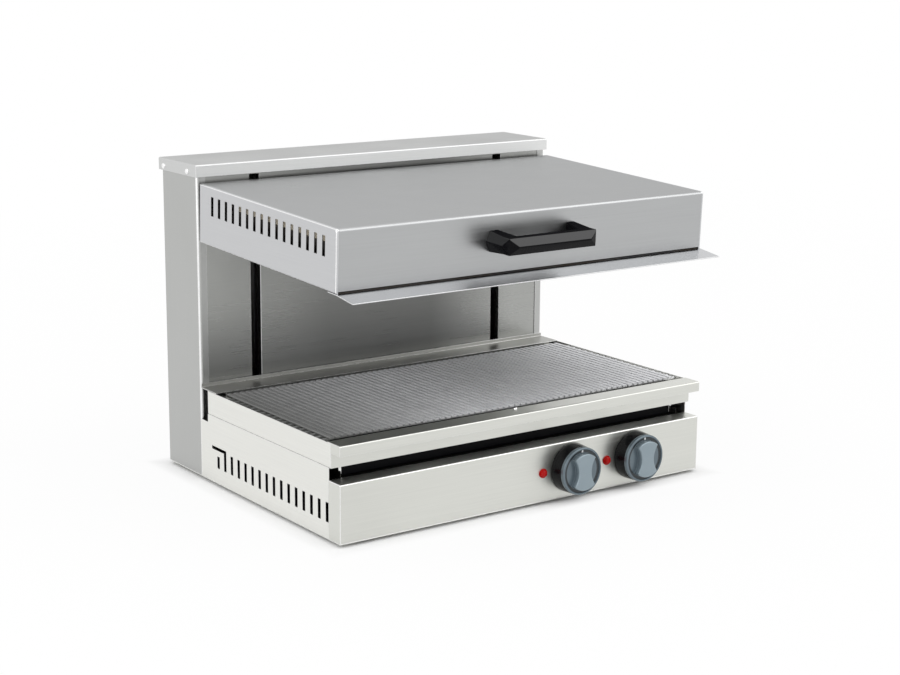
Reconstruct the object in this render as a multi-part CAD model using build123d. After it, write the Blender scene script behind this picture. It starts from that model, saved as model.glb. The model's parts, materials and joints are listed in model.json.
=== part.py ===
from build123d import *
import os

# Salamander grill: a base with a wire grid, a rear column and a heated hood that slides on the column.
# While the pieces are made, y is the distance behind the front panel's face, and z the height above
# the bench. The finished pieces are moved so that the origin is under the middle of the whole grill.

# Overall sizes
WIDTH = 600.0                  # base, column and hood share one width
BASE_DEPTH = 458.0             # front panel face to column back
COLUMN_DEPTH = 97.0
COLUMN_HEIGHT = 437.0          # bottom plate to the top of the cap
FOOT_HEIGHT = 4.0
SHEET = 1.2                    # stainless sheet
BEND = 2.0                     # outside radius of a folded edge

# Clearances
REST_GAP = 0.3                 # round or loose pieces on their seats
SLIDE_GAP = 0.2                # flat pieces that slide on each other
SHAFT_GAP = 0.05               # shafts in their bores, on the radius
SCREW_GAP = 0.1                # screws in their holes, on the radius
CUT = 1.0                      # holes and cut-outs are cut this far past the faces
DOME_ROUNDING = 0.8            # rounded share of the height of a domed head

# Base
FRONT_HEIGHT = 78.0            # front panel, above the underside of the bottom plate
FRONT_RETURN = 27.0            # its side returns and top flange
SIDE_HEIGHT = 94.5             # side panels, above the underside of the bottom plate
SIDE_FLANGE = 12.0             # inward flange along their top
NOTCH_LENGTH = 20.0            # step down at the rear of their top edge
NOTCH_DROP = 11.5
FOOT_RADIUS = 18.0
FOOT_INSET = 36.0              # foot centre to the edges of the bottom plate

# Vents, rows of one kind on the base sides and on the hood sides
VENT_PITCH = 18.8
VENT_WIDTH = 7.0
VENT_HEIGHT = 26.0
BASE_VENT_START = 31.0         # centre of the front vent behind the front panel's face
BASE_VENT_END = 42.0           # no vents this close to the column
BASE_VENT_RISE = 22.5          # vent bottom above the underside of the bottom plate
SHORT_VENT_HEIGHT = 17.0       # rear vent of the base
SLIT_HEIGHT = 3.6              # slit that runs back from the second vent from the rear
SLIT_LENGTH = 40.0

# Grid surround
NOSING_DEPTH = 21.0            # overhang of the front rail's nosing
NOSING_DROP = 14.0
LAND_DEPTH = 29.0              # flat top of the front rail
LAND_LIP = 6.0                 # down-turned lip behind the land
RAIL_HEIGHT = 32.5             # side rails, above the base sides
RAIL_SEAM = 0.8                # groove between the side rails and the base sides
LEDGE_DROP = 5.5               # grid ledge below the top of the side rails
LEDGE_WIDTH = 16.0
RAIL_COLUMN_GAP = 21.0         # side rails to column
SHELF_DEPTH = 42.0
SHELF_RISE = 1.0               # shelf and land above the side rails
SHELF_LIP = 14.0
UPSTAND_HEIGHT = 5.0

# Wire grid
CROSS_WIRE_RADIUS = 2.0
CROSS_WIRE_PITCH = 14.0
CROSS_WIRE_INSET = 8.0         # outer cross wires inside the ends of the flat wires
CROSS_WIRE_END = 1.3           # wire ends to the side rails
FLAT_WIRE_WIDTH = 6.6
FLAT_WIRE_HEIGHT = 2.5
FLAT_WIRE_ROUNDING = 0.8
FLAT_WIRE_PITCH = 9.2          # least distance between flat wires
FLAT_WIRE_SIDE_GAP = 11.0      # outer flat wires to the side rails
GRID_FRONT_GAP = 14.0          # flat wires to the front rail
GRID_REAR_GAP = 12.0           # flat wires to the rear shelf

# Drip tray
TRAY_SIDE_GAP = 20.0           # tray inside the base's sides
TRAY_FRONT = 36.0              # behind the front panel's face
TRAY_REAR_GAP = 25.0           # tray to column
TRAY_HEIGHT = 13.0
TRAY_WALL = 1.0
RUNNER_WIDTH = 21.0
RUNNER_GUIDE = 10.0            # height of the runner's guide above the deck
RUNNER_SIDE_GAP = 1.5

# Column
COLUMN_BEND = 6.0              # folded front corners
COLUMN_RETURN = 14.0           # front return of the side panels
ARM_SLOT_WIDTH = 15.0
ARM_SLOT_BOTTOM = 130.0        # above the underside of the bottom plate
SLOT_FLANGE = 8.0              # inward fold along both edges of a slot
SLOT_BEND_SHARE = 0.9          # outside radius of that fold, as a share of the sheet
CAP_FLANGE = 17.0
CAP_SIDE_GAP = 0.3
CAP_FRONT_OVERHANG = 3.0
CAP_REAR_OVERHANG = 9.0
RIVET_RADIUS = 2.0
RIVET_HEAD_RADIUS = 4.0
RIVET_HEAD_HEIGHT = 1.8
RIVET_FRONT_INSET = 22.0       # front rivets behind the column front
RIVET_REAR_INSET = 6.0         # rear rivets ahead of the column back
RIVET_RISE = 6.0               # above the edge of the cap
BACK_VENT_COUNT = 9
BACK_VENT_PITCH = 20.0
BACK_VENT_LENGTH = 90.0
BACK_VENT_WIDTH = 6.0
BACK_VENT_X = 60.0             # middle of each row
BACK_VENT_DROP = 60.0          # top row below the underside of the cap

# Guide rods, carriages and arms
ROD_RADIUS = 8.0
ROD_INSET = 112.0              # rod axis inside the grill's side
ROD_SETBACK = 29.0             # rod axis behind the column front
ROD_BLOCK = 32.0               # square blocks at both ends of a rod
ROD_FOOT_HEIGHT = 20.0
BEAM_THICKNESS = 4.0
BEAM_HEIGHT = 14.0
BEAM_DROP = 3.0                # beam below the underside of the cap
BUSH_WALL = 3.0
BUSH_LENGTH = 16.0
CARRIAGE_SIZE = 36.0           # square carriage blocks
CARRIAGE_HEIGHT = 60.0
CARRIAGE_DROP = 17.5           # carriage top below the top of the hood's rear edge
CROSS_BAR_THICKNESS = 4.0
CROSS_BAR_HEIGHT = 25.0
ARM_THICKNESS = 6.0
ARM_RISE = 13.0                # underside of the arm above the hood's
ARM_REACH = 52.0               # arm inside the hood
ARM_BOLT_RADIUS = 3.0
ARM_BOLT_LENGTH = 12.0         # bolt in the carriage
ARM_BOLT_HEAD_RADIUS = 5.0
ARM_BOLT_HEAD = 4.0
ARM_BOLT_SPREAD_Y = 28.0
ARM_BOLT_SPREAD_Z = 24.0
BRACKET_LEG = 20.0
BRACKET_THICKNESS = 3.0

# Counterweight, pulleys and cables
WEIGHT_INSET = 70.0            # ends of the weight inside the grill's sides
WEIGHT_THICKNESS = 34.0
WEIGHT_HEIGHT = 94.0
WEIGHT_REST = 26.0             # underside above the bottom plate, hood at rest
SHOE_THICKNESS = 36.0
SHOE_WIDTH = 15.5
SHOE_HEIGHT = 30.0
CHANNEL_WALL = 2.0
CHANNEL_LIP = 2.0              # overlap of the channel's walls and the weight's ends
CHANNEL_FOOT = 8.0             # channel above the bottom plate
CHANNEL_DROP = 86.6            # channel below the underside of the cap
CABLE_INSET = 68.0             # cables inside the guide rods
CABLE_RADIUS = 1.5
PULLEY_PITCH_RADIUS = 21.0     # to the cable's middle
PULLEY_RIM = 3.0               # rim beyond the pitch radius
PULLEY_WIDTH = 12.0
PULLEY_TOP_GAP = 8.0           # pulley rim below the underside of the cap
PULLEY_SIDE_GAP = 0.5
AXLE_RADIUS = 4.0
AXLE_HEAD = 2.5                # axle beyond the cheeks
CHEEK_THICKNESS = 3.0
CHEEK_TAIL = 14.0              # cheek beyond the axle
ANCHOR_WIDTH = 16.0
ANCHOR_EDGE = 6.5              # anchor ahead of the cable
ANCHOR_HEIGHT = 14.0
LUG_HEIGHT = 12.0

# Hood
HOOD_DROOP = 2.37              # the hood hangs nose-down on its arms, in degrees
HOOD_HEIGHT = 80.5
HOOD_BEND = 4.0                # outside radius of the cover's fold
HOOD_RIM = 4.0                 # depth of the folded rim round the hood's sides
HOOD_RIM_BEND = 3.0            # its outside radius
HOOD_FRONT = 4.5               # behind the front panel's face
HOOD_COLUMN_GAP = 9.5
HOOD_BELOW_CAP = 24.5          # rear top edge of the hood below the top of the cap
HOOD_VENT_START = 29.0         # centre of the front vent behind the hood's face
HOOD_VENT_END = 30.0           # no vents this close to the hood's rear
HOOD_VENT_DROP = 12.5          # vent top below the hood's top
LIP_REACH = 39.0
LIP_SLOPE = 3.8                # fall of the lip from root to edge
LIP_TAB = 18.0                 # lip under the hood
LIP_GAP = 2.5                  # hood's face to the lip
WIRING_SPACE = 70.0            # between the heat box and the hood's rear
HEAT_BOX_MARGIN = 14.0         # reflector skirts inside the hood's sides and face
INSULATION = 25.0              # thickness over the reflector
ELEMENT_RADIUS = 4.25
ELEMENT_RUNS = 6
ELEMENT_START_X = 30.0         # inner run of each zone
ELEMENT_SIDE_GAP = 33.6        # outer run to the reflector's side
ELEMENT_DROP = 22.0            # element axis below the reflector
ELEMENT_TAIL = 30.0            # cold ends behind the reflector
ELEMENT_FRONT = 34.0           # front bends behind the hood's face
ELEMENT_REAR_GAP = 22.0        # rear bends ahead of the reflector's rear skirt
ELEMENT_BUSH_WALL = 3.5
ELEMENT_BUSH_LENGTH = 8.0
REST_BAR_WIDTH = 20.0
REST_BAR_THICKNESS = 2.0
REST_BAR_INSET = 55.0          # bars inside the reflector's front and rear

# Handle
HANDLE_LENGTH = 150.0
HANDLE_REACH = 50.0
HANDLE_HEIGHT = 22.0           # of the grip
HANDLE_FOOT = 28.0             # height of the legs at the hood
HANDLE_RIDGE = 2.0             # flat ridge round the outside
HANDLE_DROP = 36.0             # grip axis below the hood's top
HANDLE_LEG = 18.0
HANDLE_GRIP = 18.0             # depth of the grip
HANDLE_FACET = 6.0             # depth of the sloping faces beside the ridge
HANDLE_CORNER = 16.0           # length of a corner, cut in two faces
HANDLE_CORNER_CUT = 5.0        # depth of the corner's middle edge
HANDLE_TAPER = 6.0             # legs thicken towards the grip
HANDLE_SCREW_RADIUS = 2.5
HANDLE_SCREW_LENGTH = 14.0     # screw in the leg
HANDLE_SCREW_HEAD_RADIUS = 5.0
HANDLE_SCREW_HEAD = 3.0

# Controls
KNOB_INSET = 121.0             # right knob's axis inside the right side
KNOB_SPACING = 111.0
KNOB_HEIGHT = 41.0             # axis above the underside of the bottom plate
KNOB_RADIUS = 34.0
KNOB_GAP = 1.0                 # skirt to front panel
SKIRT_DEPTH = 19.0
SKIRT_DRAFT = 1.0
FACE_DEPTH = 6.0
FACE_RIM = 3.0                 # rim round the sunk ring of the face
FACE_SINK = 2.0
GRIP_GAP = 4.5                 # ends of the grip to the rim
GRIP_HEIGHT = 9.0
GRIP_WAIST = 22.0
GRIP_SCOOP = 30.0              # radius of the hollows beside the grip
SHAFT_RADIUS = 3.0
SHAFT_HOLE_RADIUS = 5.0
SHAFT_IN_KNOB = 16.0
SHAFT_IN_SWITCH = 20.0
SWITCH_SIZE = 44.0
SWITCH_DEPTH = 32.0
LAMP_OFFSET = 47.5             # lamp to the left of its knob
LAMP_DROP = 1.0                # lamp below the knob's axis
LAMP_RADIUS = 6.5
LAMP_FLANGE = 1.5
LAMP_DOME = 4.0
LAMP_STEM_RADIUS = 4.9
LAMP_STEM = 24.0
TERMINAL_SIZE = (60.0, 24.0, 20.0)
TERMINAL_INSET = 100.0         # terminals inside the left side
TERMINAL_COLUMN_GAP = 71.0     # terminals ahead of the column

# Cable gland
GLAND_INSET = 28.0             # gland axis inside the left side
GLAND_HEIGHT = 60.0
GLAND_BORE_RADIUS = 5.0
GLAND_STEM_RADIUS = 9.0
GLAND_HEX_RADIUS = 14.0
GLAND_HEX = 5.0
GLAND_NOSE = 3.5
GLAND_INSIDE = 14.0
GLAND_NUT = 5.0

# Places worked out from the sizes above
HALF = WIDTH / 2
INNER = HALF - SHEET
FLOOR_Z = FOOT_HEIGHT
PANEL_Z = FLOOR_Z + SHEET
FRONT_TOP = FLOOR_Z + FRONT_HEIGHT
DECK_TOP = FRONT_TOP - SHEET
SIDE_TOP = FLOOR_Z + SIDE_HEIGHT
RAIL_TOP = SIDE_TOP + RAIL_HEIGHT
LEDGE_TOP = RAIL_TOP - LEDGE_DROP
LAND_TOP = RAIL_TOP + SHELF_RISE
WALL_Y = NOSING_DEPTH
COLUMN_Y = BASE_DEPTH - COLUMN_DEPTH
RAIL_REAR = COLUMN_Y - RAIL_COLUMN_GAP
SHELF_FRONT = COLUMN_Y - SHELF_DEPTH
GRID_FRONT = LAND_DEPTH + GRID_FRONT_GAP
GRID_REAR = SHELF_FRONT - GRID_REAR_GAP
COLUMN_FACE = COLUMN_Y + SHEET
COLUMN_INSIDE = COLUMN_FACE + SHEET
BACK_INSIDE = BASE_DEPTH - SHEET
CAP_TOP = FLOOR_Z + COLUMN_HEIGHT
CAP_UNDER = CAP_TOP - SHEET
CAP_EDGE = CAP_TOP - CAP_FLANGE
COLUMN_FRONT_HALF = HALF - COLUMN_BEND - REST_GAP
BEAM_TOP = CAP_UNDER - BEAM_DROP
BEAM_BOTTOM = BEAM_TOP - BEAM_HEIGHT
BEAM_BACK = COLUMN_INSIDE + BEAM_THICKNESS
ROD_X = HALF - ROD_INSET
ROD_Y = COLUMN_Y + ROD_SETBACK
HOOD_REAR = COLUMN_Y - HOOD_COLUMN_GAP
HOOD_TOP_Z = CAP_TOP - HOOD_BELOW_CAP
HOOD_BOTTOM_Z = HOOD_TOP_Z - HOOD_HEIGHT
HOOD_UNDER_COVER = HOOD_TOP_Z - SHEET
HOOD_INNER = HALF - HOOD_RIM
HOOD_FACE_BACK = HOOD_FRONT + SHEET
HOOD_REAR_INSIDE = HOOD_REAR - SHEET
HOOD_FLOOR = HOOD_BOTTOM_Z + SHEET
CARRIAGE_TOP = HOOD_TOP_Z - CARRIAGE_DROP
CARRIAGE_BOTTOM = CARRIAGE_TOP - CARRIAGE_HEIGHT
CARRIAGE_BACK = ROD_Y + CARRIAGE_SIZE / 2
ARM_INNER = ROD_X + CARRIAGE_SIZE / 2
ARM_OUTER = ARM_INNER + ARM_THICKNESS
ARM_X = (ARM_INNER + ARM_OUTER) / 2
ARM_TOP = CARRIAGE_TOP
ARM_BOTTOM = HOOD_BOTTOM_Z + ARM_RISE
BUSH_RADIUS = ROD_RADIUS + SHAFT_GAP + BUSH_WALL
CHANNEL_BACK = BACK_INSIDE - CHANNEL_WALL
WEIGHT_Y = CHANNEL_BACK - REST_GAP - SHOE_THICKNESS / 2
WEIGHT_HALF = HALF - WEIGHT_INSET
WEIGHT_BOTTOM = PANEL_Z + WEIGHT_REST
WEIGHT_TOP = WEIGHT_BOTTOM + WEIGHT_HEIGHT
PULLEY_RADIUS = PULLEY_PITCH_RADIUS + PULLEY_RIM
PULLEY_Y = WEIGHT_Y - PULLEY_PITCH_RADIUS
PULLEY_Z = CAP_UNDER - PULLEY_TOP_GAP - PULLEY_RADIUS
CABLE_X = ROD_X - CABLE_INSET
CABLE_FRONT_Y = PULLEY_Y - PULLEY_PITCH_RADIUS
ANCHOR_TOP = CARRIAGE_BOTTOM + CROSS_BAR_HEIGHT
REFLECTOR_TOP = HOOD_UNDER_COVER - INSULATION
ELEMENT_Z = REFLECTOR_TOP - ELEMENT_DROP
HEAT_BOX_REAR = HOOD_REAR - WIRING_SPACE
SKIRT_X = INNER - HEAT_BOX_MARGIN
SKIRT_FRONT = HOOD_FRONT + HEAT_BOX_MARGIN
SKIRT_REAR = HEAT_BOX_REAR - SHEET
ELEMENT_SPAN = SKIRT_X - SHEET - ELEMENT_SIDE_GAP - ELEMENT_START_X
ELEMENT_PITCH = ELEMENT_SPAN / (ELEMENT_RUNS - 1)
HANDLE_Z = HOOD_TOP_Z - HANDLE_DROP
KNOB_X = (HALF - KNOB_INSET - KNOB_SPACING, HALF - KNOB_INSET)
KNOB_Z = FLOOR_Z + KNOB_HEIGHT
LAMP_Z = KNOB_Z - LAMP_DROP
FACE_BACK = -KNOB_GAP - SKIRT_DEPTH
GLAND_X = -HALF + GLAND_INSET
SIDES = (-1, 1)


def slab(x0, x1, y0, y1, z0, z1):
    """Block between two values on each axis."""
    middle = Pos((x0 + x1) / 2, (y0 + y1) / 2, (z0 + z1) / 2)
    return middle * Box(abs(x1 - x0), abs(y1 - y0), abs(z1 - z0))


def round_x(radius, x0, x1, y, z):
    """Cylinder along X between two places."""
    return Pos((x0 + x1) / 2, y, z) * Rot(0, 90, 0) * Cylinder(radius, abs(x1 - x0))


def round_y(radius, x, y0, y1, z):
    """Cylinder along Y between two places."""
    return Pos(x, (y0 + y1) / 2, z) * Rot(90, 0, 0) * Cylinder(radius, abs(y1 - y0))


def round_z(radius, x, y, z0, z1):
    """Cylinder along Z between two places."""
    return Pos(x, y, (z0 + z1) / 2) * Cylinder(radius, abs(z1 - z0))


def edge_near(shape, axis, x, y, z):
    """The edge along an axis whose middle is nearest a point."""
    return shape.edges().filter_by(axis).sort_by_distance(Vector(x, y, z))[0]


def other_side(shape):
    """The same piece on the other side of the grill."""
    return mirror(shape, about=Plane.YZ)


def tilted(shape):
    """Turn a hood piece nose-down about the hood's rear top edge."""
    pivot = Pos(0, HOOD_REAR, HOOD_TOP_Z)
    return pivot * Rot(HOOD_DROOP, 0, 0) * pivot.inverse() * shape


def row_places(start, end, pitch):
    """Evenly spaced places from a start, as many as fit before an end."""
    count = int((end - start) / pitch) + 1
    return [start + number * pitch for number in range(count)]


def left_vent(y, bottom, height):
    """Cutter for one upright vent through the left side."""
    return slab(-HALF - CUT, -INNER + CUT, y - VENT_WIDTH / 2, y + VENT_WIDTH / 2, bottom, bottom + height)


# Base: bottom plate, feet, front panel, sides and deck

base_bottom = slab(-HALF, HALF, 0, BASE_DEPTH, FLOOR_Z, PANEL_Z)

rubber_feet = []
for side in SIDES:
    for foot_y in (FOOT_INSET, BASE_DEPTH - FOOT_INSET):
        rubber_feet.append(round_z(FOOT_RADIUS, side * (HALF - FOOT_INSET), foot_y, 0, FLOOR_Z))

front_panel = slab(-HALF, HALF, 0, FRONT_RETURN, PANEL_Z, FRONT_TOP)
for side in SIDES:
    corner = edge_near(front_panel, Axis.Z, side * HALF, 0, KNOB_Z)
    front_panel = fillet(corner, BEND)
front_panel = fillet(edge_near(front_panel, Axis.X, 0, 0, FRONT_TOP), BEND)
front_panel -= slab(-INNER, INNER, SHEET, FRONT_RETURN + CUT, PANEL_Z - CUT, DECK_TOP)
for knob_x in KNOB_X:
    front_panel -= round_y(SHAFT_HOLE_RADIUS, knob_x, -CUT, SHEET + CUT, KNOB_Z)
    lamp_x = knob_x - LAMP_OFFSET
    front_panel -= round_y(LAMP_STEM_RADIUS + SCREW_GAP, lamp_x, -CUT, SHEET + CUT, LAMP_Z)

base_left_side = slab(-HALF, -INNER, FRONT_RETURN, COLUMN_Y, PANEL_Z, SIDE_TOP)
base_left_side += slab(-INNER, -INNER + SIDE_FLANGE, FRONT_RETURN, COLUMN_Y, SIDE_TOP - SHEET, SIDE_TOP)
notch_z = SIDE_TOP - NOTCH_DROP
base_left_side -= slab(-HALF - CUT, 0, COLUMN_Y - NOTCH_LENGTH, COLUMN_Y + CUT, notch_z, SIDE_TOP + CUT)
vent_bottom = FLOOR_Z + BASE_VENT_RISE
base_vents = row_places(BASE_VENT_START, COLUMN_Y - BASE_VENT_END, VENT_PITCH)
base_left_side -= [left_vent(y, vent_bottom, VENT_HEIGHT) for y in base_vents[:-1]]
base_left_side -= left_vent(base_vents[-1], vent_bottom, SHORT_VENT_HEIGHT)
slit_front = base_vents[-2] - VENT_WIDTH / 2
slit_rear = slit_front + SLIT_LENGTH
slit_z = vent_bottom + VENT_HEIGHT
base_left_side -= slab(-HALF - CUT, -INNER + CUT, slit_front, slit_rear, slit_z - CUT, slit_z + SLIT_HEIGHT)
base_right_side = other_side(base_left_side)

deck = slab(-INNER, INNER, SHEET, COLUMN_Y, DECK_TOP - SHEET, DECK_TOP)

# Grid surround: front rail with its nosing, side rails with a ledge, rear shelf

land_under = LAND_TOP - SHEET
nosing_z = LAND_TOP - NOSING_DROP
frame_front_rail = slab(-HALF, HALF, 0, LAND_DEPTH, land_under, LAND_TOP)
frame_front_rail += slab(-HALF, HALF, 0, SHEET, nosing_z, LAND_TOP)
frame_front_rail += slab(-INNER, INNER, LAND_DEPTH - SHEET, LAND_DEPTH, LAND_TOP - LAND_LIP, LAND_TOP)
frame_front_rail = fillet(edge_near(frame_front_rail, Axis.X, 0, 0, LAND_TOP), BEND)
frame_front_rail += slab(-HALF, HALF, WALL_Y, WALL_Y + SHEET, SIDE_TOP, land_under)
for side in SIDES:
    frame_front_rail += slab(side * HALF, side * INNER, SHEET, WALL_Y, nosing_z, land_under)

rail_front = WALL_Y + SHEET
frame_left_rail = slab(-HALF, -INNER, rail_front, RAIL_REAR, SIDE_TOP + RAIL_SEAM, RAIL_TOP)
frame_left_rail -= slab(-HALF - CUT, -INNER + CUT, rail_front - CUT, LAND_DEPTH, land_under, RAIL_TOP + CUT)
frame_left_rail += slab(-INNER, -INNER + SIDE_FLANGE, LAND_DEPTH, RAIL_REAR, SIDE_TOP, SIDE_TOP + SHEET)
frame_left_rail += slab(-INNER, -INNER + LEDGE_WIDTH, LAND_DEPTH, RAIL_REAR, LEDGE_TOP - SHEET, LEDGE_TOP)
frame_side_rails = [frame_left_rail, other_side(frame_left_rail)]

rear_shelf = slab(-INNER, INNER, SHELF_FRONT, COLUMN_Y, land_under, LAND_TOP)
rear_shelf += slab(-INNER, INNER, COLUMN_Y - SHEET, COLUMN_Y, LAND_TOP, LAND_TOP + UPSTAND_HEIGHT)
lip_half = INNER - LEDGE_WIDTH - REST_GAP
rear_shelf += slab(-lip_half, lip_half, SHELF_FRONT, SHELF_FRONT + SHEET, LAND_TOP - SHELF_LIP, LAND_TOP)
for side in SIDES:
    shelf_leg = slab(side * INNER, side * (INNER - SHEET), SHELF_FRONT, RAIL_REAR, LEDGE_TOP, land_under)
    rear_shelf += shelf_leg

# Wire grid: round cross wires on the ledges, flat wires welded on top of them

cross_z = LEDGE_TOP + REST_GAP + CROSS_WIRE_RADIUS
cross_half = INNER - CROSS_WIRE_END
wire_grid = []
for wire_y in row_places(GRID_FRONT + CROSS_WIRE_INSET, GRID_REAR - CROSS_WIRE_INSET, CROSS_WIRE_PITCH):
    wire_grid.append(round_x(CROSS_WIRE_RADIUS, -cross_half, cross_half, wire_y, cross_z))
flat_z = cross_z + CROSS_WIRE_RADIUS + FLAT_WIRE_HEIGHT / 2
flat_profile = Plane.XZ * RectangleRounded(FLAT_WIRE_WIDTH, FLAT_WIRE_HEIGHT, FLAT_WIRE_ROUNDING)
flat_wire = extrude(flat_profile, (GRID_REAR - GRID_FRONT) / 2, both=True)
outer_wire_x = INNER - FLAT_WIRE_SIDE_GAP - FLAT_WIRE_WIDTH / 2
half_count = int(outer_wire_x / FLAT_WIRE_PITCH)
for number in range(-half_count, half_count + 1):
    wire_x = outer_wire_x * number / half_count
    wire_grid.append(Pos(wire_x, (GRID_FRONT + GRID_REAR) / 2, flat_z) * flat_wire)

# Drip tray and its runners on the deck

tray_half = HALF - TRAY_SIDE_GAP
tray_z = FRONT_TOP + SLIDE_GAP
tray_rear = COLUMN_Y - TRAY_REAR_GAP
drip_tray = slab(-tray_half, tray_half, TRAY_FRONT, tray_rear, tray_z, tray_z + TRAY_HEIGHT)
drip_tray -= slab(
    -tray_half + TRAY_WALL,
    tray_half - TRAY_WALL,
    TRAY_FRONT + TRAY_WALL,
    tray_rear - TRAY_WALL,
    tray_z + TRAY_WALL,
    tray_z + TRAY_HEIGHT + CUT,
)

guide_x = tray_half + RUNNER_SIDE_GAP
left_runner = slab(-guide_x - SHEET, -guide_x + RUNNER_WIDTH, FRONT_RETURN, tray_rear, DECK_TOP, FRONT_TOP)
left_runner += slab(-guide_x - SHEET, -guide_x, FRONT_RETURN, tray_rear, FRONT_TOP, DECK_TOP + RUNNER_GUIDE)
tray_runners = [left_runner, other_side(left_runner)]

# Column: sides with folded front corners, slotted front, back, cap and its rivets

column_left_side = slab(-HALF, -HALF + COLUMN_RETURN, COLUMN_Y, BASE_DEPTH, PANEL_Z, CAP_UNDER)
column_left_side = fillet(edge_near(column_left_side, Axis.Z, -HALF, COLUMN_Y, HOOD_TOP_Z), COLUMN_BEND)
column_core = slab(-INNER, HALF, COLUMN_FACE, BASE_DEPTH + CUT, PANEL_Z - CUT, CAP_UNDER + CUT)
column_core = fillet(edge_near(column_core, Axis.Z, -INNER, COLUMN_FACE, HOOD_TOP_Z), COLUMN_BEND - SHEET)
column_left_side -= column_core

cap_half = HALF + CAP_SIDE_GAP + SHEET
cap_front = COLUMN_Y - CAP_FRONT_OVERHANG
cap_rear = BASE_DEPTH + CAP_REAR_OVERHANG
top_cap = slab(-cap_half, cap_half, cap_front, cap_rear, CAP_EDGE, CAP_TOP)
top_cap = fillet(top_cap.faces().sort_by(Axis.Z)[-1].edges(), BEND)
top_cap -= slab(
    -cap_half + SHEET,
    cap_half - SHEET,
    cap_front + SHEET,
    cap_rear - SHEET,
    CAP_EDGE - CUT,
    CAP_UNDER,
)

cap_rivets = []
rivet_z = CAP_EDGE + RIVET_RISE
for rivet_y in (COLUMN_Y + RIVET_FRONT_INSET, BASE_DEPTH - RIVET_REAR_INSET):
    rivet_hole = round_x(RIVET_RADIUS + SCREW_GAP, -cap_half - CUT, -INNER + CUT, rivet_y, rivet_z)
    column_left_side -= rivet_hole
    top_cap -= [rivet_hole, other_side(rivet_hole)]
    head = round_x(RIVET_HEAD_RADIUS, -cap_half - RIVET_HEAD_HEIGHT, -cap_half, rivet_y, rivet_z)
    head = fillet(head.faces().sort_by(Axis.X)[0].edges(), RIVET_HEAD_HEIGHT * DOME_ROUNDING)
    rivet = head + round_x(RIVET_RADIUS, -cap_half, -INNER, rivet_y, rivet_z)
    cap_rivets += [rivet, other_side(rivet)]
column_right_side = other_side(column_left_side)

column_front = slab(-COLUMN_FRONT_HALF, COLUMN_FRONT_HALF, COLUMN_FACE, COLUMN_INSIDE, PANEL_Z, CAP_UNDER)
for side in SIDES:
    slot_left = side * ARM_X - ARM_SLOT_WIDTH / 2
    slot_right = side * ARM_X + ARM_SLOT_WIDTH / 2
    slot_bottom = FLOOR_Z + ARM_SLOT_BOTTOM
    slot_middle = (slot_bottom + BEAM_BOTTOM) / 2
    fold_back = COLUMN_INSIDE + SLOT_FLANGE
    column_front += slab(
        slot_left - SHEET, slot_right + SHEET, COLUMN_INSIDE, fold_back, slot_bottom, BEAM_BOTTOM
    )
    column_front -= slab(slot_left, slot_right, COLUMN_Y, fold_back + CUT, slot_bottom, BEAM_BOTTOM)
    for slot_edge in (slot_left, slot_right):
        fold_edge = edge_near(column_front, Axis.Z, slot_edge, COLUMN_FACE, slot_middle)
        column_front = fillet(fold_edge, SHEET * SLOT_BEND_SHARE)

column_back = slab(-INNER, INNER, BACK_INSIDE, BASE_DEPTH, PANEL_Z, CAP_UNDER)
for side in SIDES:
    for number in range(BACK_VENT_COUNT):
        vent_z = CAP_UNDER - BACK_VENT_DROP - number * BACK_VENT_PITCH
        vent_x = side * BACK_VENT_X
        column_back -= slab(
            vent_x - BACK_VENT_LENGTH / 2,
            vent_x + BACK_VENT_LENGTH / 2,
            BACK_INSIDE - CUT,
            BASE_DEPTH + CUT,
            vent_z - BACK_VENT_WIDTH,
            vent_z,
        )
gland_z = FLOOR_Z + GLAND_HEIGHT
column_back -= round_y(GLAND_STEM_RADIUS + SCREW_GAP, GLAND_X, BACK_INSIDE - CUT, BASE_DEPTH + CUT, gland_z)

# Guide rods with their blocks, and the beam that carries the upper ends

top_beam = slab(-COLUMN_FRONT_HALF, COLUMN_FRONT_HALF, COLUMN_INSIDE, BEAM_BACK, BEAM_BOTTOM, BEAM_TOP)
guide_rods = []
rod_blocks = []
for side in SIDES:
    rod_x = side * ROD_X
    guide_rods.append(round_z(ROD_RADIUS, rod_x, ROD_Y, PANEL_Z, BEAM_TOP))
    bore = round_z(ROD_RADIUS + SHAFT_GAP, rod_x, ROD_Y, 0, CAP_TOP)
    block_left = rod_x - ROD_BLOCK / 2
    block_right = rod_x + ROD_BLOCK / 2
    block_back = ROD_Y + ROD_BLOCK / 2
    foot_front = ROD_Y - ROD_BLOCK / 2
    foot_block = slab(block_left, block_right, foot_front, block_back, PANEL_Z, PANEL_Z + ROD_FOOT_HEIGHT)
    head_block = slab(block_left, block_right, BEAM_BACK, block_back, BEAM_BOTTOM, BEAM_TOP)
    rod_blocks += [foot_block - bore, head_block - bore]

# Carriages on the rods: blocks, bronze bushes, cross bar and cable anchors

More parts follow.
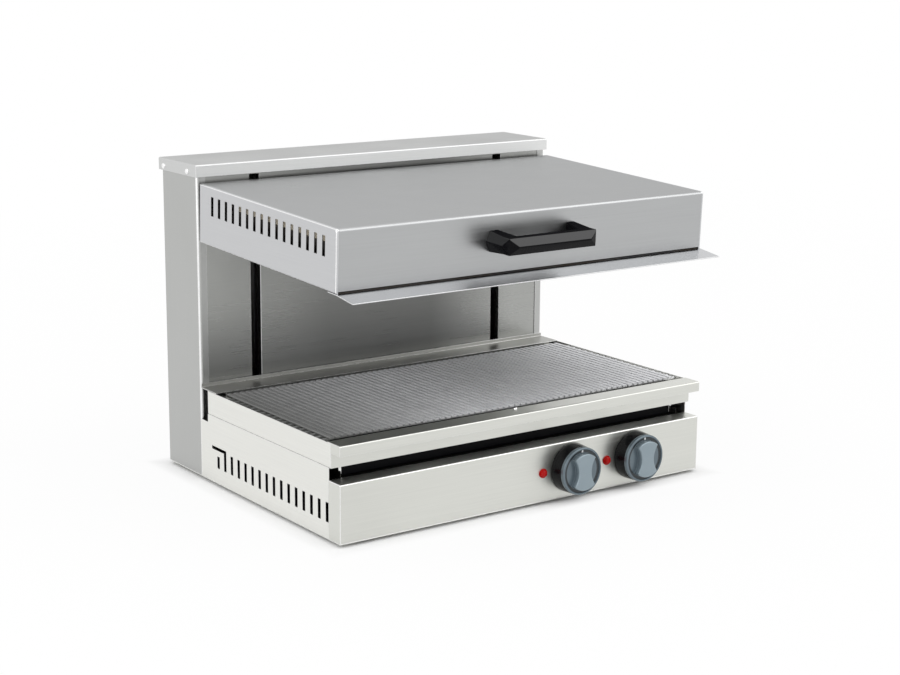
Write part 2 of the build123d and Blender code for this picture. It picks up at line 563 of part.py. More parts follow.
hood_carriages = []
guide_bushes = []
bolt_places = []
arm_middle = (ARM_TOP + ARM_BOTTOM) / 2
for dy in SIDES:
    for dz in SIDES:
        bolt_places.append((ROD_Y + dy * ARM_BOLT_SPREAD_Y / 2, arm_middle + dz * ARM_BOLT_SPREAD_Z / 2))
for side in SIDES:
    rod_x = side * ROD_X
    carriage = slab(
        rod_x - CARRIAGE_SIZE / 2,
        rod_x + CARRIAGE_SIZE / 2,
        ROD_Y - CARRIAGE_SIZE / 2,
        CARRIAGE_BACK,
        CARRIAGE_BOTTOM,
        CARRIAGE_TOP,
    )
    carriage -= round_z(BUSH_RADIUS + SHAFT_GAP, rod_x, ROD_Y, CARRIAGE_BOTTOM - CUT, CARRIAGE_TOP + CUT)
    hole_end = side * (ARM_INNER - ARM_BOLT_LENGTH - SCREW_GAP)
    hole_mouth = side * (ARM_INNER + CUT)
    for bolt_y, bolt_z in bolt_places:
        carriage -= round_x(ARM_BOLT_RADIUS + SCREW_GAP, hole_end, hole_mouth, bolt_y, bolt_z)
    hood_carriages.append(carriage)
    for bush_z in (CARRIAGE_BOTTOM, CARRIAGE_TOP - BUSH_LENGTH):
        bush = round_z(BUSH_RADIUS, rod_x, ROD_Y, bush_z, bush_z + BUSH_LENGTH)
        bush -= round_z(ROD_RADIUS + SHAFT_GAP, rod_x, ROD_Y, bush_z - CUT, bush_z + BUSH_LENGTH + CUT)
        guide_bushes.append(bush)

bar_back = CARRIAGE_BACK + CROSS_BAR_THICKNESS
carriage_bar = slab(-ARM_INNER, ARM_INNER, CARRIAGE_BACK, bar_back, CARRIAGE_BOTTOM, ANCHOR_TOP)
cable_anchors = []
for side in SIDES:
    anchor_x = side * CABLE_X
    cable_anchors.append(
        slab(
            anchor_x - ANCHOR_WIDTH / 2,
            anchor_x + ANCHOR_WIDTH / 2,
            CABLE_FRONT_Y - ANCHOR_EDGE,
            CARRIAGE_BACK,
            ANCHOR_TOP - ANCHOR_HEIGHT,
            ANCHOR_TOP,
        )
    )

# Arms through the column slots, their brackets in the hood and all the hood's screws

arm_front = HOOD_REAR - ARM_REACH
hood_arms = []
arm_brackets = []
hood_screws = []
for side in SIDES:
    arm = tilted(slab(side * ARM_INNER, side * ARM_OUTER, arm_front, CARRIAGE_BACK, ARM_BOTTOM, ARM_TOP))
    bolt_tip = side * (ARM_INNER - ARM_BOLT_LENGTH)
    bolt_head = side * (ARM_OUTER + ARM_BOLT_HEAD)
    hole_ends = side * (ARM_INNER - CUT), side * (ARM_OUTER + CUT)
    for bolt_y, bolt_z in bolt_places:
        arm -= round_x(ARM_BOLT_RADIUS + SCREW_GAP, *hole_ends, bolt_y, bolt_z)
        bolt = round_x(ARM_BOLT_RADIUS, bolt_tip, side * ARM_OUTER, bolt_y, bolt_z)
        bolt += round_x(ARM_BOLT_HEAD_RADIUS, side * ARM_OUTER, bolt_head, bolt_y, bolt_z)
        hood_screws.append(bolt)
    hood_arms.append(arm)
    bracket = slab(
        side * ARM_OUTER,
        side * (ARM_OUTER + BRACKET_THICKNESS),
        arm_front,
        HOOD_REAR_INSIDE,
        ARM_BOTTOM,
        ARM_TOP,
    )
    bracket += slab(
        side * ARM_OUTER,
        side * (ARM_OUTER + BRACKET_LEG),
        HOOD_REAR_INSIDE - BRACKET_THICKNESS,
        HOOD_REAR_INSIDE,
        ARM_BOTTOM,
        ARM_TOP,
    )
    arm_brackets.append(tilted(bracket))

# Hood: folded cover, vented sides, rear plate, bottom cover and front lip

face_bottom = HOOD_BOTTOM_Z + LIP_GAP
hood_cover = slab(-HOOD_INNER, HOOD_INNER, HOOD_FRONT, HOOD_REAR, face_bottom, HOOD_TOP_Z)
hood_cover = fillet(edge_near(hood_cover, Axis.X, 0, HOOD_FRONT, HOOD_TOP_Z), HOOD_BEND)
cover_core = slab(-HALF, HALF, HOOD_FACE_BACK, HOOD_REAR + CUT, face_bottom - CUT, HOOD_UNDER_COVER)
cover_core = fillet(edge_near(cover_core, Axis.X, 0, HOOD_FACE_BACK, HOOD_UNDER_COVER), HOOD_BEND - SHEET)
hood_cover -= cover_core

hood_left_side = slab(-HALF, -HOOD_INNER, HOOD_FRONT, HOOD_REAR, HOOD_BOTTOM_Z, HOOD_TOP_Z)
hood_left_side = fillet(edge_near(hood_left_side, Axis.X, -HALF, HOOD_FRONT, HOOD_TOP_Z), HOOD_BEND)
hood_left_side = fillet(hood_left_side.faces().sort_by(Axis.X)[0].edges(), HOOD_RIM_BEND)
side_core = slab(-INNER, -HOOD_INNER + CUT, HOOD_FACE_BACK, HOOD_REAR_INSIDE, HOOD_FLOOR, HOOD_UNDER_COVER)
side_core = fillet(edge_near(side_core, Axis.X, -INNER, HOOD_FACE_BACK, HOOD_UNDER_COVER), HOOD_BEND - SHEET)
hood_left_side -= side_core
hood_vent_bottom = HOOD_TOP_Z - HOOD_VENT_DROP - VENT_HEIGHT
hood_vents = row_places(HOOD_FRONT + HOOD_VENT_START, HOOD_REAR - HOOD_VENT_END, VENT_PITCH)
hood_left_side -= [left_vent(y, hood_vent_bottom, VENT_HEIGHT) for y in hood_vents]
hood_right_side = other_side(hood_left_side)

hood_rear = slab(-HOOD_INNER, HOOD_INNER, HOOD_REAR_INSIDE, HOOD_REAR, HOOD_BOTTOM_Z, HOOD_UNDER_COVER)
for side in SIDES:
    hood_rear -= slab(
        side * (ARM_INNER - REST_GAP),
        side * (ARM_OUTER + REST_GAP),
        HOOD_REAR_INSIDE - CUT,
        HOOD_REAR + CUT,
        ARM_BOTTOM - REST_GAP,
        ARM_TOP + REST_GAP,
    )

hood_bottom_cover = slab(-HOOD_INNER, HOOD_INNER, HEAT_BOX_REAR, HOOD_REAR_INSIDE, HOOD_BOTTOM_Z, HOOD_FLOOR)

lip_root = Vector(HOOD_FRONT, HOOD_BOTTOM_Z)
lip_edge = Vector(HOOD_FRONT - LIP_REACH, HOOD_BOTTOM_Z - LIP_SLOPE)
lip_profile = Polyline(
    (HOOD_FRONT + LIP_TAB, HOOD_BOTTOM_Z),
    (lip_root.X, lip_root.Y),
    (lip_edge.X, lip_edge.Y),
    (lip_edge.X, lip_edge.Y - SHEET),
    (lip_root.X, lip_root.Y - SHEET),
    (HOOD_FRONT + LIP_TAB, HOOD_BOTTOM_Z - SHEET),
    close=True,
)
hood_lip = Pos(-HALF, 0, 0) * extrude(Plane.YZ * make_face(lip_profile), WIDTH)

# Heat box: reflector, insulation, one tubular element for each zone, bushes and rest bars

reflector = slab(-SKIRT_X, SKIRT_X, SKIRT_FRONT, SKIRT_REAR, HOOD_BOTTOM_Z, REFLECTOR_TOP)
reflector += slab(-HOOD_INNER, HOOD_INNER, HOOD_FACE_BACK, HEAT_BOX_REAR, HOOD_BOTTOM_Z, HOOD_FLOOR)
reflector -= slab(
    -SKIRT_X + SHEET,
    SKIRT_X - SHEET,
    SKIRT_FRONT + SHEET,
    SKIRT_REAR - SHEET,
    HOOD_BOTTOM_Z - CUT,
    REFLECTOR_TOP - SHEET,
)

insulation = slab(-SKIRT_X, SKIRT_X, SKIRT_FRONT, SKIRT_REAR, REFLECTOR_TOP, HOOD_UNDER_COVER)


def heating_element(side):
    """Tube that runs to and fro between the hood's front and rear, with both ends at the rear."""
    front_y = HOOD_FRONT + ELEMENT_FRONT + ELEMENT_PITCH / 2
    turn_y = SKIRT_REAR - ELEMENT_REAR_GAP - ELEMENT_PITCH / 2
    tail_y = HEAT_BOX_REAR + ELEMENT_TAIL
    pieces = []
    for run in range(ELEMENT_RUNS):
        x = side * (ELEMENT_START_X + run * ELEMENT_PITCH)
        middle_x = x + side * ELEMENT_PITCH / 2
        next_x = x + side * ELEMENT_PITCH
        first = run == 0
        last = run == ELEMENT_RUNS - 1
        rear_y = tail_y if first or last else turn_y
        if run % 2 == 0:
            pieces.append(Line((x, rear_y, ELEMENT_Z), (x, front_y, ELEMENT_Z)))
            bend_y = front_y
            crown_y = front_y - ELEMENT_PITCH / 2
        else:
            pieces.append(Line((x, front_y, ELEMENT_Z), (x, rear_y, ELEMENT_Z)))
            bend_y = turn_y
            crown_y = turn_y + ELEMENT_PITCH / 2
        if not last:
            start = (x, bend_y, ELEMENT_Z)
            crown = (middle_x, crown_y, ELEMENT_Z)
            end = (next_x, bend_y, ELEMENT_Z)
            pieces.append(ThreePointArc(start, crown, end))
    path = Wire([edge for piece in pieces for edge in piece.edges()])
    section = Plane(origin=path @ 0, z_dir=path % 0) * Circle(ELEMENT_RADIUS)
    return sweep(section, path=path)


left_element = heating_element(-1)
right_element = heating_element(1)

element_bushes = []
bush_radius = ELEMENT_RADIUS + ELEMENT_BUSH_WALL
for side in SIDES:
    for run in (0, ELEMENT_RUNS - 1):
        bush_x = side * (ELEMENT_START_X + run * ELEMENT_PITCH)
        bush_end = SKIRT_REAR + ELEMENT_BUSH_LENGTH
        hole_front = SKIRT_REAR - SHEET - CUT
        tube_hole = round_y(ELEMENT_RADIUS + SHAFT_GAP, bush_x, hole_front, bush_end + CUT, ELEMENT_Z)
        reflector -= tube_hole
        bush = round_y(bush_radius, bush_x, SKIRT_REAR, bush_end, ELEMENT_Z)
        element_bushes.append(bush - tube_hole)

bar_top = ELEMENT_Z - ELEMENT_RADIUS - REST_GAP
element_rest_bars = []
for bar_y in (SKIRT_FRONT + REST_BAR_INSET, SKIRT_REAR - REST_BAR_INSET):
    rest_bar = slab(
        -SKIRT_X + SHEET,
        SKIRT_X - SHEET,
        bar_y - REST_BAR_WIDTH / 2,
        bar_y + REST_BAR_WIDTH / 2,
        bar_top - REST_BAR_THICKNESS,
        bar_top,
    )
    element_rest_bars.append(rest_bar)

# Handle on the hood's face, with a screw into each leg from inside

grip_inside = HOOD_FRONT - HANDLE_REACH + HANDLE_GRIP
grip_outside = HOOD_FRONT - HANDLE_REACH
handle_half = HANDLE_LENGTH / 2
leg_inside = handle_half - HANDLE_LEG
foot_half = HANDLE_FOOT / 2
grip_half = HANDLE_HEIGHT / 2
ridge_half = HANDLE_RIDGE / 2
seen_from_above = Polyline(
    (-handle_half, HOOD_FRONT),
    (-handle_half, grip_outside + HANDLE_CORNER),
    (-handle_half + HANDLE_CORNER_CUT, grip_outside + HANDLE_CORNER_CUT),
    (-handle_half + HANDLE_CORNER, grip_outside),
    (handle_half - HANDLE_CORNER, grip_outside),
    (handle_half - HANDLE_CORNER_CUT, grip_outside + HANDLE_CORNER_CUT),
    (handle_half, grip_outside + HANDLE_CORNER),
    (handle_half, HOOD_FRONT),
    (leg_inside, HOOD_FRONT),
    (leg_inside - HANDLE_TAPER, grip_inside),
    (-leg_inside + HANDLE_TAPER, grip_inside),
    (-leg_inside, HOOD_FRONT),
    close=True,
)
seen_from_side = Polyline(
    (HOOD_FRONT, -foot_half),
    (HOOD_FRONT, foot_half),
    (grip_inside, grip_half),
    (grip_outside + HANDLE_FACET, grip_half),
    (grip_outside, ridge_half),
    (grip_outside, -ridge_half),
    (grip_outside + HANDLE_FACET, -grip_half),
    (grip_inside, -grip_half),
    close=True,
)
seen_from_front = Polyline(
    (-handle_half, -ridge_half),
    (-handle_half, ridge_half),
    (-handle_half + HANDLE_FACET, foot_half),
    (handle_half - HANDLE_FACET, foot_half),
    (handle_half, ridge_half),
    (handle_half, -ridge_half),
    (handle_half - HANDLE_FACET, -foot_half),
    (-handle_half + HANDLE_FACET, -foot_half),
    close=True,
)
handle_block = extrude(make_face(seen_from_above), foot_half, both=True)
handle_block &= extrude(Plane.YZ * make_face(seen_from_side), handle_half, both=True)
handle_block &= extrude(Plane.XZ * make_face(seen_from_front), HANDLE_REACH + CUT, both=True)
hood_handle = Pos(0, 0, HANDLE_Z) * handle_block
for side in SIDES:
    screw_x = side * (handle_half - HANDLE_LEG / 2)
    screw_tip = HOOD_FRONT - HANDLE_SCREW_LENGTH
    hole_tip = screw_tip - SCREW_GAP
    screw_hole = round_y(HANDLE_SCREW_RADIUS + SCREW_GAP, screw_x, hole_tip, HOOD_FACE_BACK + CUT, HANDLE_Z)
    hood_handle -= screw_hole
    hood_cover -= screw_hole
    screw = round_y(HANDLE_SCREW_RADIUS, screw_x, screw_tip, HOOD_FACE_BACK, HANDLE_Z)
    screw_end = HOOD_FACE_BACK + HANDLE_SCREW_HEAD
    screw += round_y(HANDLE_SCREW_HEAD_RADIUS, screw_x, HOOD_FACE_BACK, screw_end, HANDLE_Z)
    hood_screws.append(tilted(screw))

# Counterweight with its shoes, in channels on the column back

counterweight = slab(
    -WEIGHT_HALF,
    WEIGHT_HALF,
    WEIGHT_Y - WEIGHT_THICKNESS / 2,
    WEIGHT_Y + WEIGHT_THICKNESS / 2,
    WEIGHT_BOTTOM,
    WEIGHT_TOP,
)
for side in SIDES:
    lug_x = side * CABLE_X
    counterweight += slab(
        lug_x - ANCHOR_WIDTH / 2,
        lug_x + ANCHOR_WIDTH / 2,
        WEIGHT_Y - ANCHOR_WIDTH / 2,
        WEIGHT_Y + ANCHOR_WIDTH / 2,
        WEIGHT_TOP,
        WEIGHT_TOP + LUG_HEIGHT,
    )

counterweight_shoes = []
counterweight_guides = []
shoe_front = WEIGHT_Y - SHOE_THICKNESS / 2
shoe_back = WEIGHT_Y + SHOE_THICKNESS / 2
shoe_end = WEIGHT_HALF + SHOE_WIDTH
channel_end = shoe_end + REST_GAP
channel_front = shoe_front - REST_GAP
channel_bottom = PANEL_Z + CHANNEL_FOOT
channel_top = CAP_UNDER - CHANNEL_DROP
for side in SIDES:
    for shoe_z in (WEIGHT_BOTTOM, WEIGHT_TOP - SHOE_HEIGHT):
        shoe = slab(side * WEIGHT_HALF, side * shoe_end, shoe_front, shoe_back, shoe_z, shoe_z + SHOE_HEIGHT)
        counterweight_shoes.append(shoe)
    channel = slab(
        side * (WEIGHT_HALF - CHANNEL_LIP),
        side * (channel_end + CHANNEL_WALL),
        channel_front - CHANNEL_WALL,
        BACK_INSIDE,
        channel_bottom,
        channel_top,
    )
    channel -= slab(
        side * (WEIGHT_HALF - CHANNEL_LIP - CUT),
        side * channel_end,
        channel_front,
        CHANNEL_BACK,
        channel_bottom - CUT,
        channel_top + CUT,
    )
    counterweight_guides.append(channel)

# Pulleys with their brackets and axles, and the cables over them

groove_radius = PULLEY_PITCH_RADIUS - CABLE_RADIUS - REST_GAP
groove_half = CABLE_RADIUS + REST_GAP
cheek_inside = PULLEY_WIDTH / 2 + PULLEY_SIDE_GAP
cheek_outside = cheek_inside + CHEEK_THICKNESS
cheek_bottom = PULLEY_Z - CHEEK_TAIL
pulleys = []
pulley_brackets = []
pulley_axles = []
lift_cables = []
for side in SIDES:
    x = side * CABLE_X
    pulley = round_x(PULLEY_RADIUS, x - PULLEY_WIDTH / 2, x + PULLEY_WIDTH / 2, PULLEY_Y, PULLEY_Z)
    groove = round_x(PULLEY_RADIUS + CUT, x - groove_half, x + groove_half, PULLEY_Y, PULLEY_Z)
    groove -= round_x(groove_radius, x - PULLEY_WIDTH, x + PULLEY_WIDTH, PULLEY_Y, PULLEY_Z)
    axle_end = cheek_outside + AXLE_HEAD
    axle_hole = round_x(AXLE_RADIUS + SHAFT_GAP, x - axle_end, x + axle_end, PULLEY_Y, PULLEY_Z)
    pulleys.append(pulley - groove - axle_hole)
    pulley_axles.append(round_x(AXLE_RADIUS, x - axle_end, x + axle_end, PULLEY_Y, PULLEY_Z))
    bracket = slab(
        x - cheek_outside,
        x + cheek_outside,
        BEAM_BACK,
        PULLEY_Y + CHEEK_TAIL,
        cheek_bottom,
        BEAM_TOP,
    )
    bracket -= slab(
        x - cheek_inside,
        x + cheek_inside,
        BEAM_BACK + CHEEK_THICKNESS,
        PULLEY_Y + CHEEK_TAIL + CUT,
        cheek_bottom - CUT,
        BEAM_TOP + CUT,
    )
    pulley_brackets.append(bracket - axle_hole)
    front_run = Line((x, CABLE_FRONT_Y, ANCHOR_TOP), (x, CABLE_FRONT_Y, PULLEY_Z))
    over = ThreePointArc(
        (x, CABLE_FRONT_Y, PULLEY_Z),
        (x, PULLEY_Y, PULLEY_Z + PULLEY_PITCH_RADIUS),
        (x, WEIGHT_Y, PULLEY_Z),
    )
    rear_run = Line((x, WEIGHT_Y, PULLEY_Z), (x, WEIGHT_Y, WEIGHT_TOP + LUG_HEIGHT))
    cable_path = Wire(front_run.edges() + over.edges() + rear_run.edges())
    cable_section = Plane(origin=cable_path @ 0, z_dir=cable_path % 0) * Circle(CABLE_RADIUS)
    lift_cables.append(sweep(cable_section, path=cable_path))

# Controls: switches behind the front panel, shafts, knobs, pilot lamps and terminals


def knob_pieces(x):
    """Switch, shaft, black skirt and grey face of one control."""
    switch_back = SHEET + SWITCH_DEPTH
    half = SWITCH_SIZE / 2
    shaft_front = FACE_BACK + SKIRT_DEPTH - SHAFT_IN_KNOB
    shaft_back = SHEET + SHAFT_IN_SWITCH
    shaft = round_y(SHAFT_RADIUS, x, shaft_front, shaft_back, KNOB_Z)
    bore = round_y(SHAFT_RADIUS + SHAFT_GAP, x, shaft_front - SHAFT_GAP, shaft_back + SHAFT_GAP, KNOB_Z)
    switch = slab(x - half, x + half, SHEET, switch_back, KNOB_Z - half, KNOB_Z + half) - bore
    skirt_axis = Pos(x, -KNOB_GAP - SKIRT_DEPTH / 2, KNOB_Z) * Rot(90, 0, 0)
    skirt = skirt_axis * Cone(KNOB_RADIUS, KNOB_RADIUS - SKIRT_DRAFT, SKIRT_DEPTH) - bore
    face_radius = KNOB_RADIUS - SKIRT_DRAFT
    face_front = FACE_BACK - FACE_DEPTH
    face = round_y(face_radius, x, face_front, FACE_BACK, KNOB_Z)
    face = fillet(face.faces().sort_by(Axis.Y)[0].edges(), BEND)
    well_radius = face_radius - FACE_RIM
    floor_y = face_front + FACE_SINK
    face -= round_y(well_radius, x, face_front - CUT, floor_y, KNOB_Z)
    grip_front = floor_y - GRIP_HEIGHT
    grip = round_y(well_radius - GRIP_GAP, x, grip_front, floor_y, KNOB_Z)
    for side in SIDES:
        scoop_x = x + side * (GRIP_WAIST / 2 + GRIP_SCOOP)
        grip -= round_y(GRIP_SCOOP, scoop_x, grip_front - CUT, floor_y + CUT, KNOB_Z)
    grip = fillet(grip.faces().sort_by(Axis.Y)[0].edges(), BEND)
    return switch, shaft, skirt, face + grip


left_control = knob_pieces(KNOB_X[0])
right_control = knob_pieces(KNOB_X[1])
heat_switches = [left_control[0], right_control[0]]

pilot_lamps = []
for knob_x in KNOB_X:
    lamp_x = knob_x - LAMP_OFFSET
    lens = round_y(LAMP_RADIUS, lamp_x, -LAMP_FLANGE, 0, LAMP_Z)
    dome = round_y(LAMP_STEM_RADIUS, lamp_x, -LAMP_FLANGE - LAMP_DOME, -LAMP_FLANGE, LAMP_Z)
    dome = fillet(dome.faces().sort_by(Axis.Y)[0].edges(), LAMP_DOME * DOME_ROUNDING)
    stem = round_y(LAMP_STEM_RADIUS, lamp_x, 0, LAMP_STEM, LAMP_Z)
    pilot_lamps.append(lens + dome + stem)

block_x, block_y, block_z = TERMINAL_SIZE
terminal_x = -HALF + TERMINAL_INSET
terminal_y = COLUMN_Y - TERMINAL_COLUMN_GAP
terminal_block = slab(
    terminal_x - block_x / 2,
    terminal_x + block_x / 2,
    terminal_y - block_y / 2,
    terminal_y + block_y / 2,
    PANEL_Z,
    PANEL_Z + block_z,
)

# Cable gland through the column back, with its nut inside


def hexagon(y0, y1):
    """Six-sided block round the gland's axis."""
    flat = Plane(origin=(GLAND_X, y1, gland_z), x_dir=(1, 0, 0), z_dir=(0, -1, 0))
    return extrude(flat * RegularPolygon(GLAND_HEX_RADIUS, 6), y1 - y0)


gland_back = BASE_DEPTH + GLAND_HEX
gland_end = gland_back + GLAND_NOSE
gland_front = BACK_INSIDE - GLAND_INSIDE
gland_bore = round_y(GLAND_BORE_RADIUS, GLAND_X, gland_front - CUT, gland_end + CUT, gland_z)
gland_nose = round_y(GLAND_STEM_RADIUS, GLAND_X, gland_back, gland_end, gland_z)
gland_stem = round_y(GLAND_STEM_RADIUS, GLAND_X, gland_front, BASE_DEPTH, gland_z)
gland_body = hexagon(BASE_DEPTH, gland_back) + gland_nose + gland_stem - gland_bore
nut_hole = round_y(GLAND_STEM_RADIUS + SCREW_GAP, GLAND_X, gland_front, BASE_DEPTH, gland_z)
gland_nut = hexagon(BACK_INSIDE - GLAND_NUT, BACK_INSIDE) - nut_hole
cable_gland = [gland_body, gland_nut]

# Every node and its solids, the hood's pieces turned nose-down

hood_handle = tilted(hood_handle)
nodes = {
    "base_bottom": base_bottom,
    "rubber_feet": rubber_feet,
    "front_panel": front_panel,
    "base_left_side": base_left_side,
    "base_right_side": base_right_side,
    "deck": deck,
    "frame_front_rail": frame_front_rail,
    "frame_side_rails": frame_side_rails,
    "rear_shelf": rear_shelf,
    "wire_grid": wire_grid,
    "drip_tray": drip_tray,
    "tray_runners": tray_runners,
    "column_left_side": column_left_side,
    "column_right_side": column_right_side,
    "column_front": column_front,
    "column_back": column_back,
    "top_cap": top_cap,
    "cap_rivets": cap_rivets,
    "top_beam": top_beam,
    "guide_rods": guide_rods,
    "rod_blocks": rod_blocks,
    "hood_carriages": hood_carriages,
    "guide_bushes": guide_bushes,
    "carriage_bar": carriage_bar,
    "cable_anchors": cable_anchors,
    "hood_arms": hood_arms,
    "arm_brackets": arm_brackets,
    "hood_screws": hood_screws,
    "hood_cover": tilted(hood_cover),
    "hood_left_side": tilted(hood_left_side),
    "hood_right_side": tilted(hood_right_side),
    "hood_rear": tilted(hood_rear),
    "hood_bottom_cover": tilted(hood_bottom_cover),
    "hood_lip": tilted(hood_lip),
    "reflector": tilted(reflector),
    "insulation": tilted(insulation),
    "left_element": tilted(left_element),
    "right_element": tilted(right_element),
    "element_bushes": [tilted(bush) for bush in element_bushes],
    "element_rest_bars": [tilted(bar) for bar in element_rest_bars],
    "hood_handle": hood_handle,
    "counterweight": counterweight,
    "counterweight_shoes": counterweight_shoes,
    "counterweight_guides": counterweight_guides,
    "left_pulley": pulleys[0],
    "right_pulley": pulleys[1],
    "pulley_brackets": pulley_brackets,
    "pulley_axles": pulley_axles,
    "lift_cables": lift_cables,
    "heat_switches": heat_switches,
    "left_switch_shaft": left_control[1],
    "left_knob_skirt": left_control[2],
    "left_knob_face": left_control[3],
    "right_switch_shaft": right_control[1],
    "right_knob_skirt": right_control[2],
    "right_knob_face": right_control[3],
    "pilot_lamps": pilot_lamps,
    "terminal_block": terminal_block,
    "cable_gland": cable_gland,
}

# The origin lies on the bench, midway between the handle's front and the cap's rear
ORIGIN_Y = (hood_handle.bounding_box().min.Y + top_cap.bounding_box().max.Y) / 2

os.makedirs("parts", exist_ok=True)
for name, pieces in nodes.items():
    group = pieces if isinstance(pieces, list) else [pieces]
    solids = [Pos(0, -ORIGIN_Y, 0) * solid for piece in group for solid in piece.solids()]
    export_step(Compound(solids) if len(solids) > 1 else solids[0], f"parts/{name}.step")
print(len(nodes), "nodes, origin", round(ORIGIN_Y, 3), "mm behind the front panel's face")
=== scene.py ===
import json
import math

import bmesh
import bpy
from mathutils import Euler, Matrix, Vector

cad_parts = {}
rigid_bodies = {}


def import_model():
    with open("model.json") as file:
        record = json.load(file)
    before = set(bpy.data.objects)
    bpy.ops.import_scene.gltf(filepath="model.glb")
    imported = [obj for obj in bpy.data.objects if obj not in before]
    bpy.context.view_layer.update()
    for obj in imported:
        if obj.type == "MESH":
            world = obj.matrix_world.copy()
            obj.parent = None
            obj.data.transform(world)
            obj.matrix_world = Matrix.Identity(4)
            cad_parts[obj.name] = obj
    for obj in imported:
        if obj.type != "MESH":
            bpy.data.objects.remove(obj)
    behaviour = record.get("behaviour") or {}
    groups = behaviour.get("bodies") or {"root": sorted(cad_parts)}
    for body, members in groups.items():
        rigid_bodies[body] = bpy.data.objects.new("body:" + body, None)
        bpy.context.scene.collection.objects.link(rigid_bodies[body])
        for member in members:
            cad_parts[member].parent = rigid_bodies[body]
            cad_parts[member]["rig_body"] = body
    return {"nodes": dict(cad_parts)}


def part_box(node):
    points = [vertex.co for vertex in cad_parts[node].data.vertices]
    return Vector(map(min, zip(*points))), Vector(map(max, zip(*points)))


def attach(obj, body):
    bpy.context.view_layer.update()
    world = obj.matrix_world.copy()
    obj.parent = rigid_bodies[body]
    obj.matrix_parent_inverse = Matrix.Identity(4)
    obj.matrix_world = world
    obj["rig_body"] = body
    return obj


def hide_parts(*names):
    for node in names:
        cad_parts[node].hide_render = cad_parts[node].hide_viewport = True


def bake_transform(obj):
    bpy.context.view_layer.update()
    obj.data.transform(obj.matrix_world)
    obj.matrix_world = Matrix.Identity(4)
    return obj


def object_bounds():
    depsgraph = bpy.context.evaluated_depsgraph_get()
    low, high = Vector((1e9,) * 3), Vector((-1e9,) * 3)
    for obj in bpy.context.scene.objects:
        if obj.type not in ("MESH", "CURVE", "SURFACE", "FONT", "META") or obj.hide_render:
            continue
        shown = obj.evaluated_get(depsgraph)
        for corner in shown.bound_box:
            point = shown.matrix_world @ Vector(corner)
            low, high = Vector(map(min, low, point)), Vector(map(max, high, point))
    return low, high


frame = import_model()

cad_low, cad_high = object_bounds()


# Bottom plate and feet. The base stands on a flat stainless plate with four low rubber feet.
# The plate is cut and brushed across the grill, and its cut edges are broken, with a painted highlight on
# them.
# The feet are moulded discs with a soft edge.

WELD = 1e-6                    # metres: corners closer than this are one corner
FLAT = math.radians(0.5)
SHARP = math.radians(35)
SHEET_EDGE = 0.0003            # metres broken off the edges of cut sheet
EDGE_STEPS = 2
FLAT_WEIGHT = 90               # pull of the large faces on the shading of an edge


def finished_copy(node, edge, pierced=False):
    """The node's own shape with its edges broken; a pierced face is cut in triangles first."""
    source = frame["nodes"][node]
    mesh = source.data.copy()
    if "custom_normal" in mesh.attributes:
        mesh.attributes.remove(mesh.attributes["custom_normal"])
    shape = bmesh.new()
    shape.from_mesh(mesh)
    bmesh.ops.remove_doubles(shape, verts=shape.verts, dist=WELD)
    bmesh.ops.dissolve_limit(shape, angle_limit=FLAT, verts=shape.verts, edges=shape.edges)
    if pierced:
        bmesh.ops.triangulate(shape, faces=shape.faces, ngon_method="BEAUTY")
    for face in shape.faces:
        face.smooth = True
    shape.to_mesh(mesh)
    shape.free()
    piece = bpy.data.objects.new(node + "_piece", mesh)
    bpy.context.scene.collection.objects.link(piece)
    broken = piece.modifiers.new("broken_edges", "BEVEL")
    broken.width = edge
    broken.segments = EDGE_STEPS
    broken.limit_method = "ANGLE"
    broken.angle_limit = SHARP
    broken.use_clamp_overlap = False
    flat_faces = piece.modifiers.new("flat_faces", "WEIGHTED_NORMAL")
    flat_faces.weight = FLAT_WEIGHT
    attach(piece, source["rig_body"])
    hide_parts(node)
    return piece


def coat(piece, material, edges=None):
    """One finish all over a piece, and another on its broken edges."""
    piece.data.materials.clear()
    piece.data.materials.append(material)
    for face in piece.data.polygons:
        face.material_index = 0
    if edges:
        piece.data.materials.append(edges)
        piece.modifiers["broken_edges"].material = 1
    return piece


def start_material(name):
    """A new material with its shader and the place on the grill, in metres."""
    material = bpy.data.materials.new(name)
    material.use_nodes = True
    nodes = material.node_tree.nodes
    links = material.node_tree.links
    place = nodes.new("ShaderNodeTexCoord").outputs["Object"]
    return material, nodes, links, nodes["Principled BSDF"], place


NOISE_LOW = 0.3                # noise stays mostly between these two
NOISE_HIGH = 0.7


def noise(nodes, links, place, scale, detail=4.0, rough=0.55):
    """Noise over the place on the grill, with a scale for each axis."""
    stretch = nodes.new("ShaderNodeMapping")
    stretch.inputs["Scale"].default_value = scale
    links.new(place, stretch.inputs["Vector"])
    texture = nodes.new("ShaderNodeTexNoise")
    texture.inputs["Scale"].default_value = 1.0
    texture.inputs["Detail"].default_value = detail
    texture.inputs["Roughness"].default_value = rough
    links.new(stretch.outputs["Vector"], texture.inputs["Vector"])
    return texture.outputs["Fac"]


def ramp(nodes, links, value, stops):
    """Colours along a value, given as (place, colour) pairs."""
    band = nodes.new("ShaderNodeValToRGB")
    while len(band.color_ramp.elements) < len(stops):
        band.color_ramp.elements.new(1.0)
    for element, (at, colour) in zip(band.color_ramp.elements, stops):
        element.position = at
        element.color = (*colour, 1.0)
    links.new(value, band.inputs["Fac"])
    return band.outputs["Color"]


def spread(nodes, links, value, low, high, start=NOISE_LOW, end=NOISE_HIGH):
    """A value moved from one range into another."""
    moved = nodes.new("ShaderNodeMapRange")
    moved.inputs["From Min"].default_value = start
    moved.inputs["From Max"].default_value = end
    moved.inputs["To Min"].default_value = low
    moved.inputs["To Max"].default_value = high
    links.new(value, moved.inputs["Value"])
    return moved.outputs["Result"]


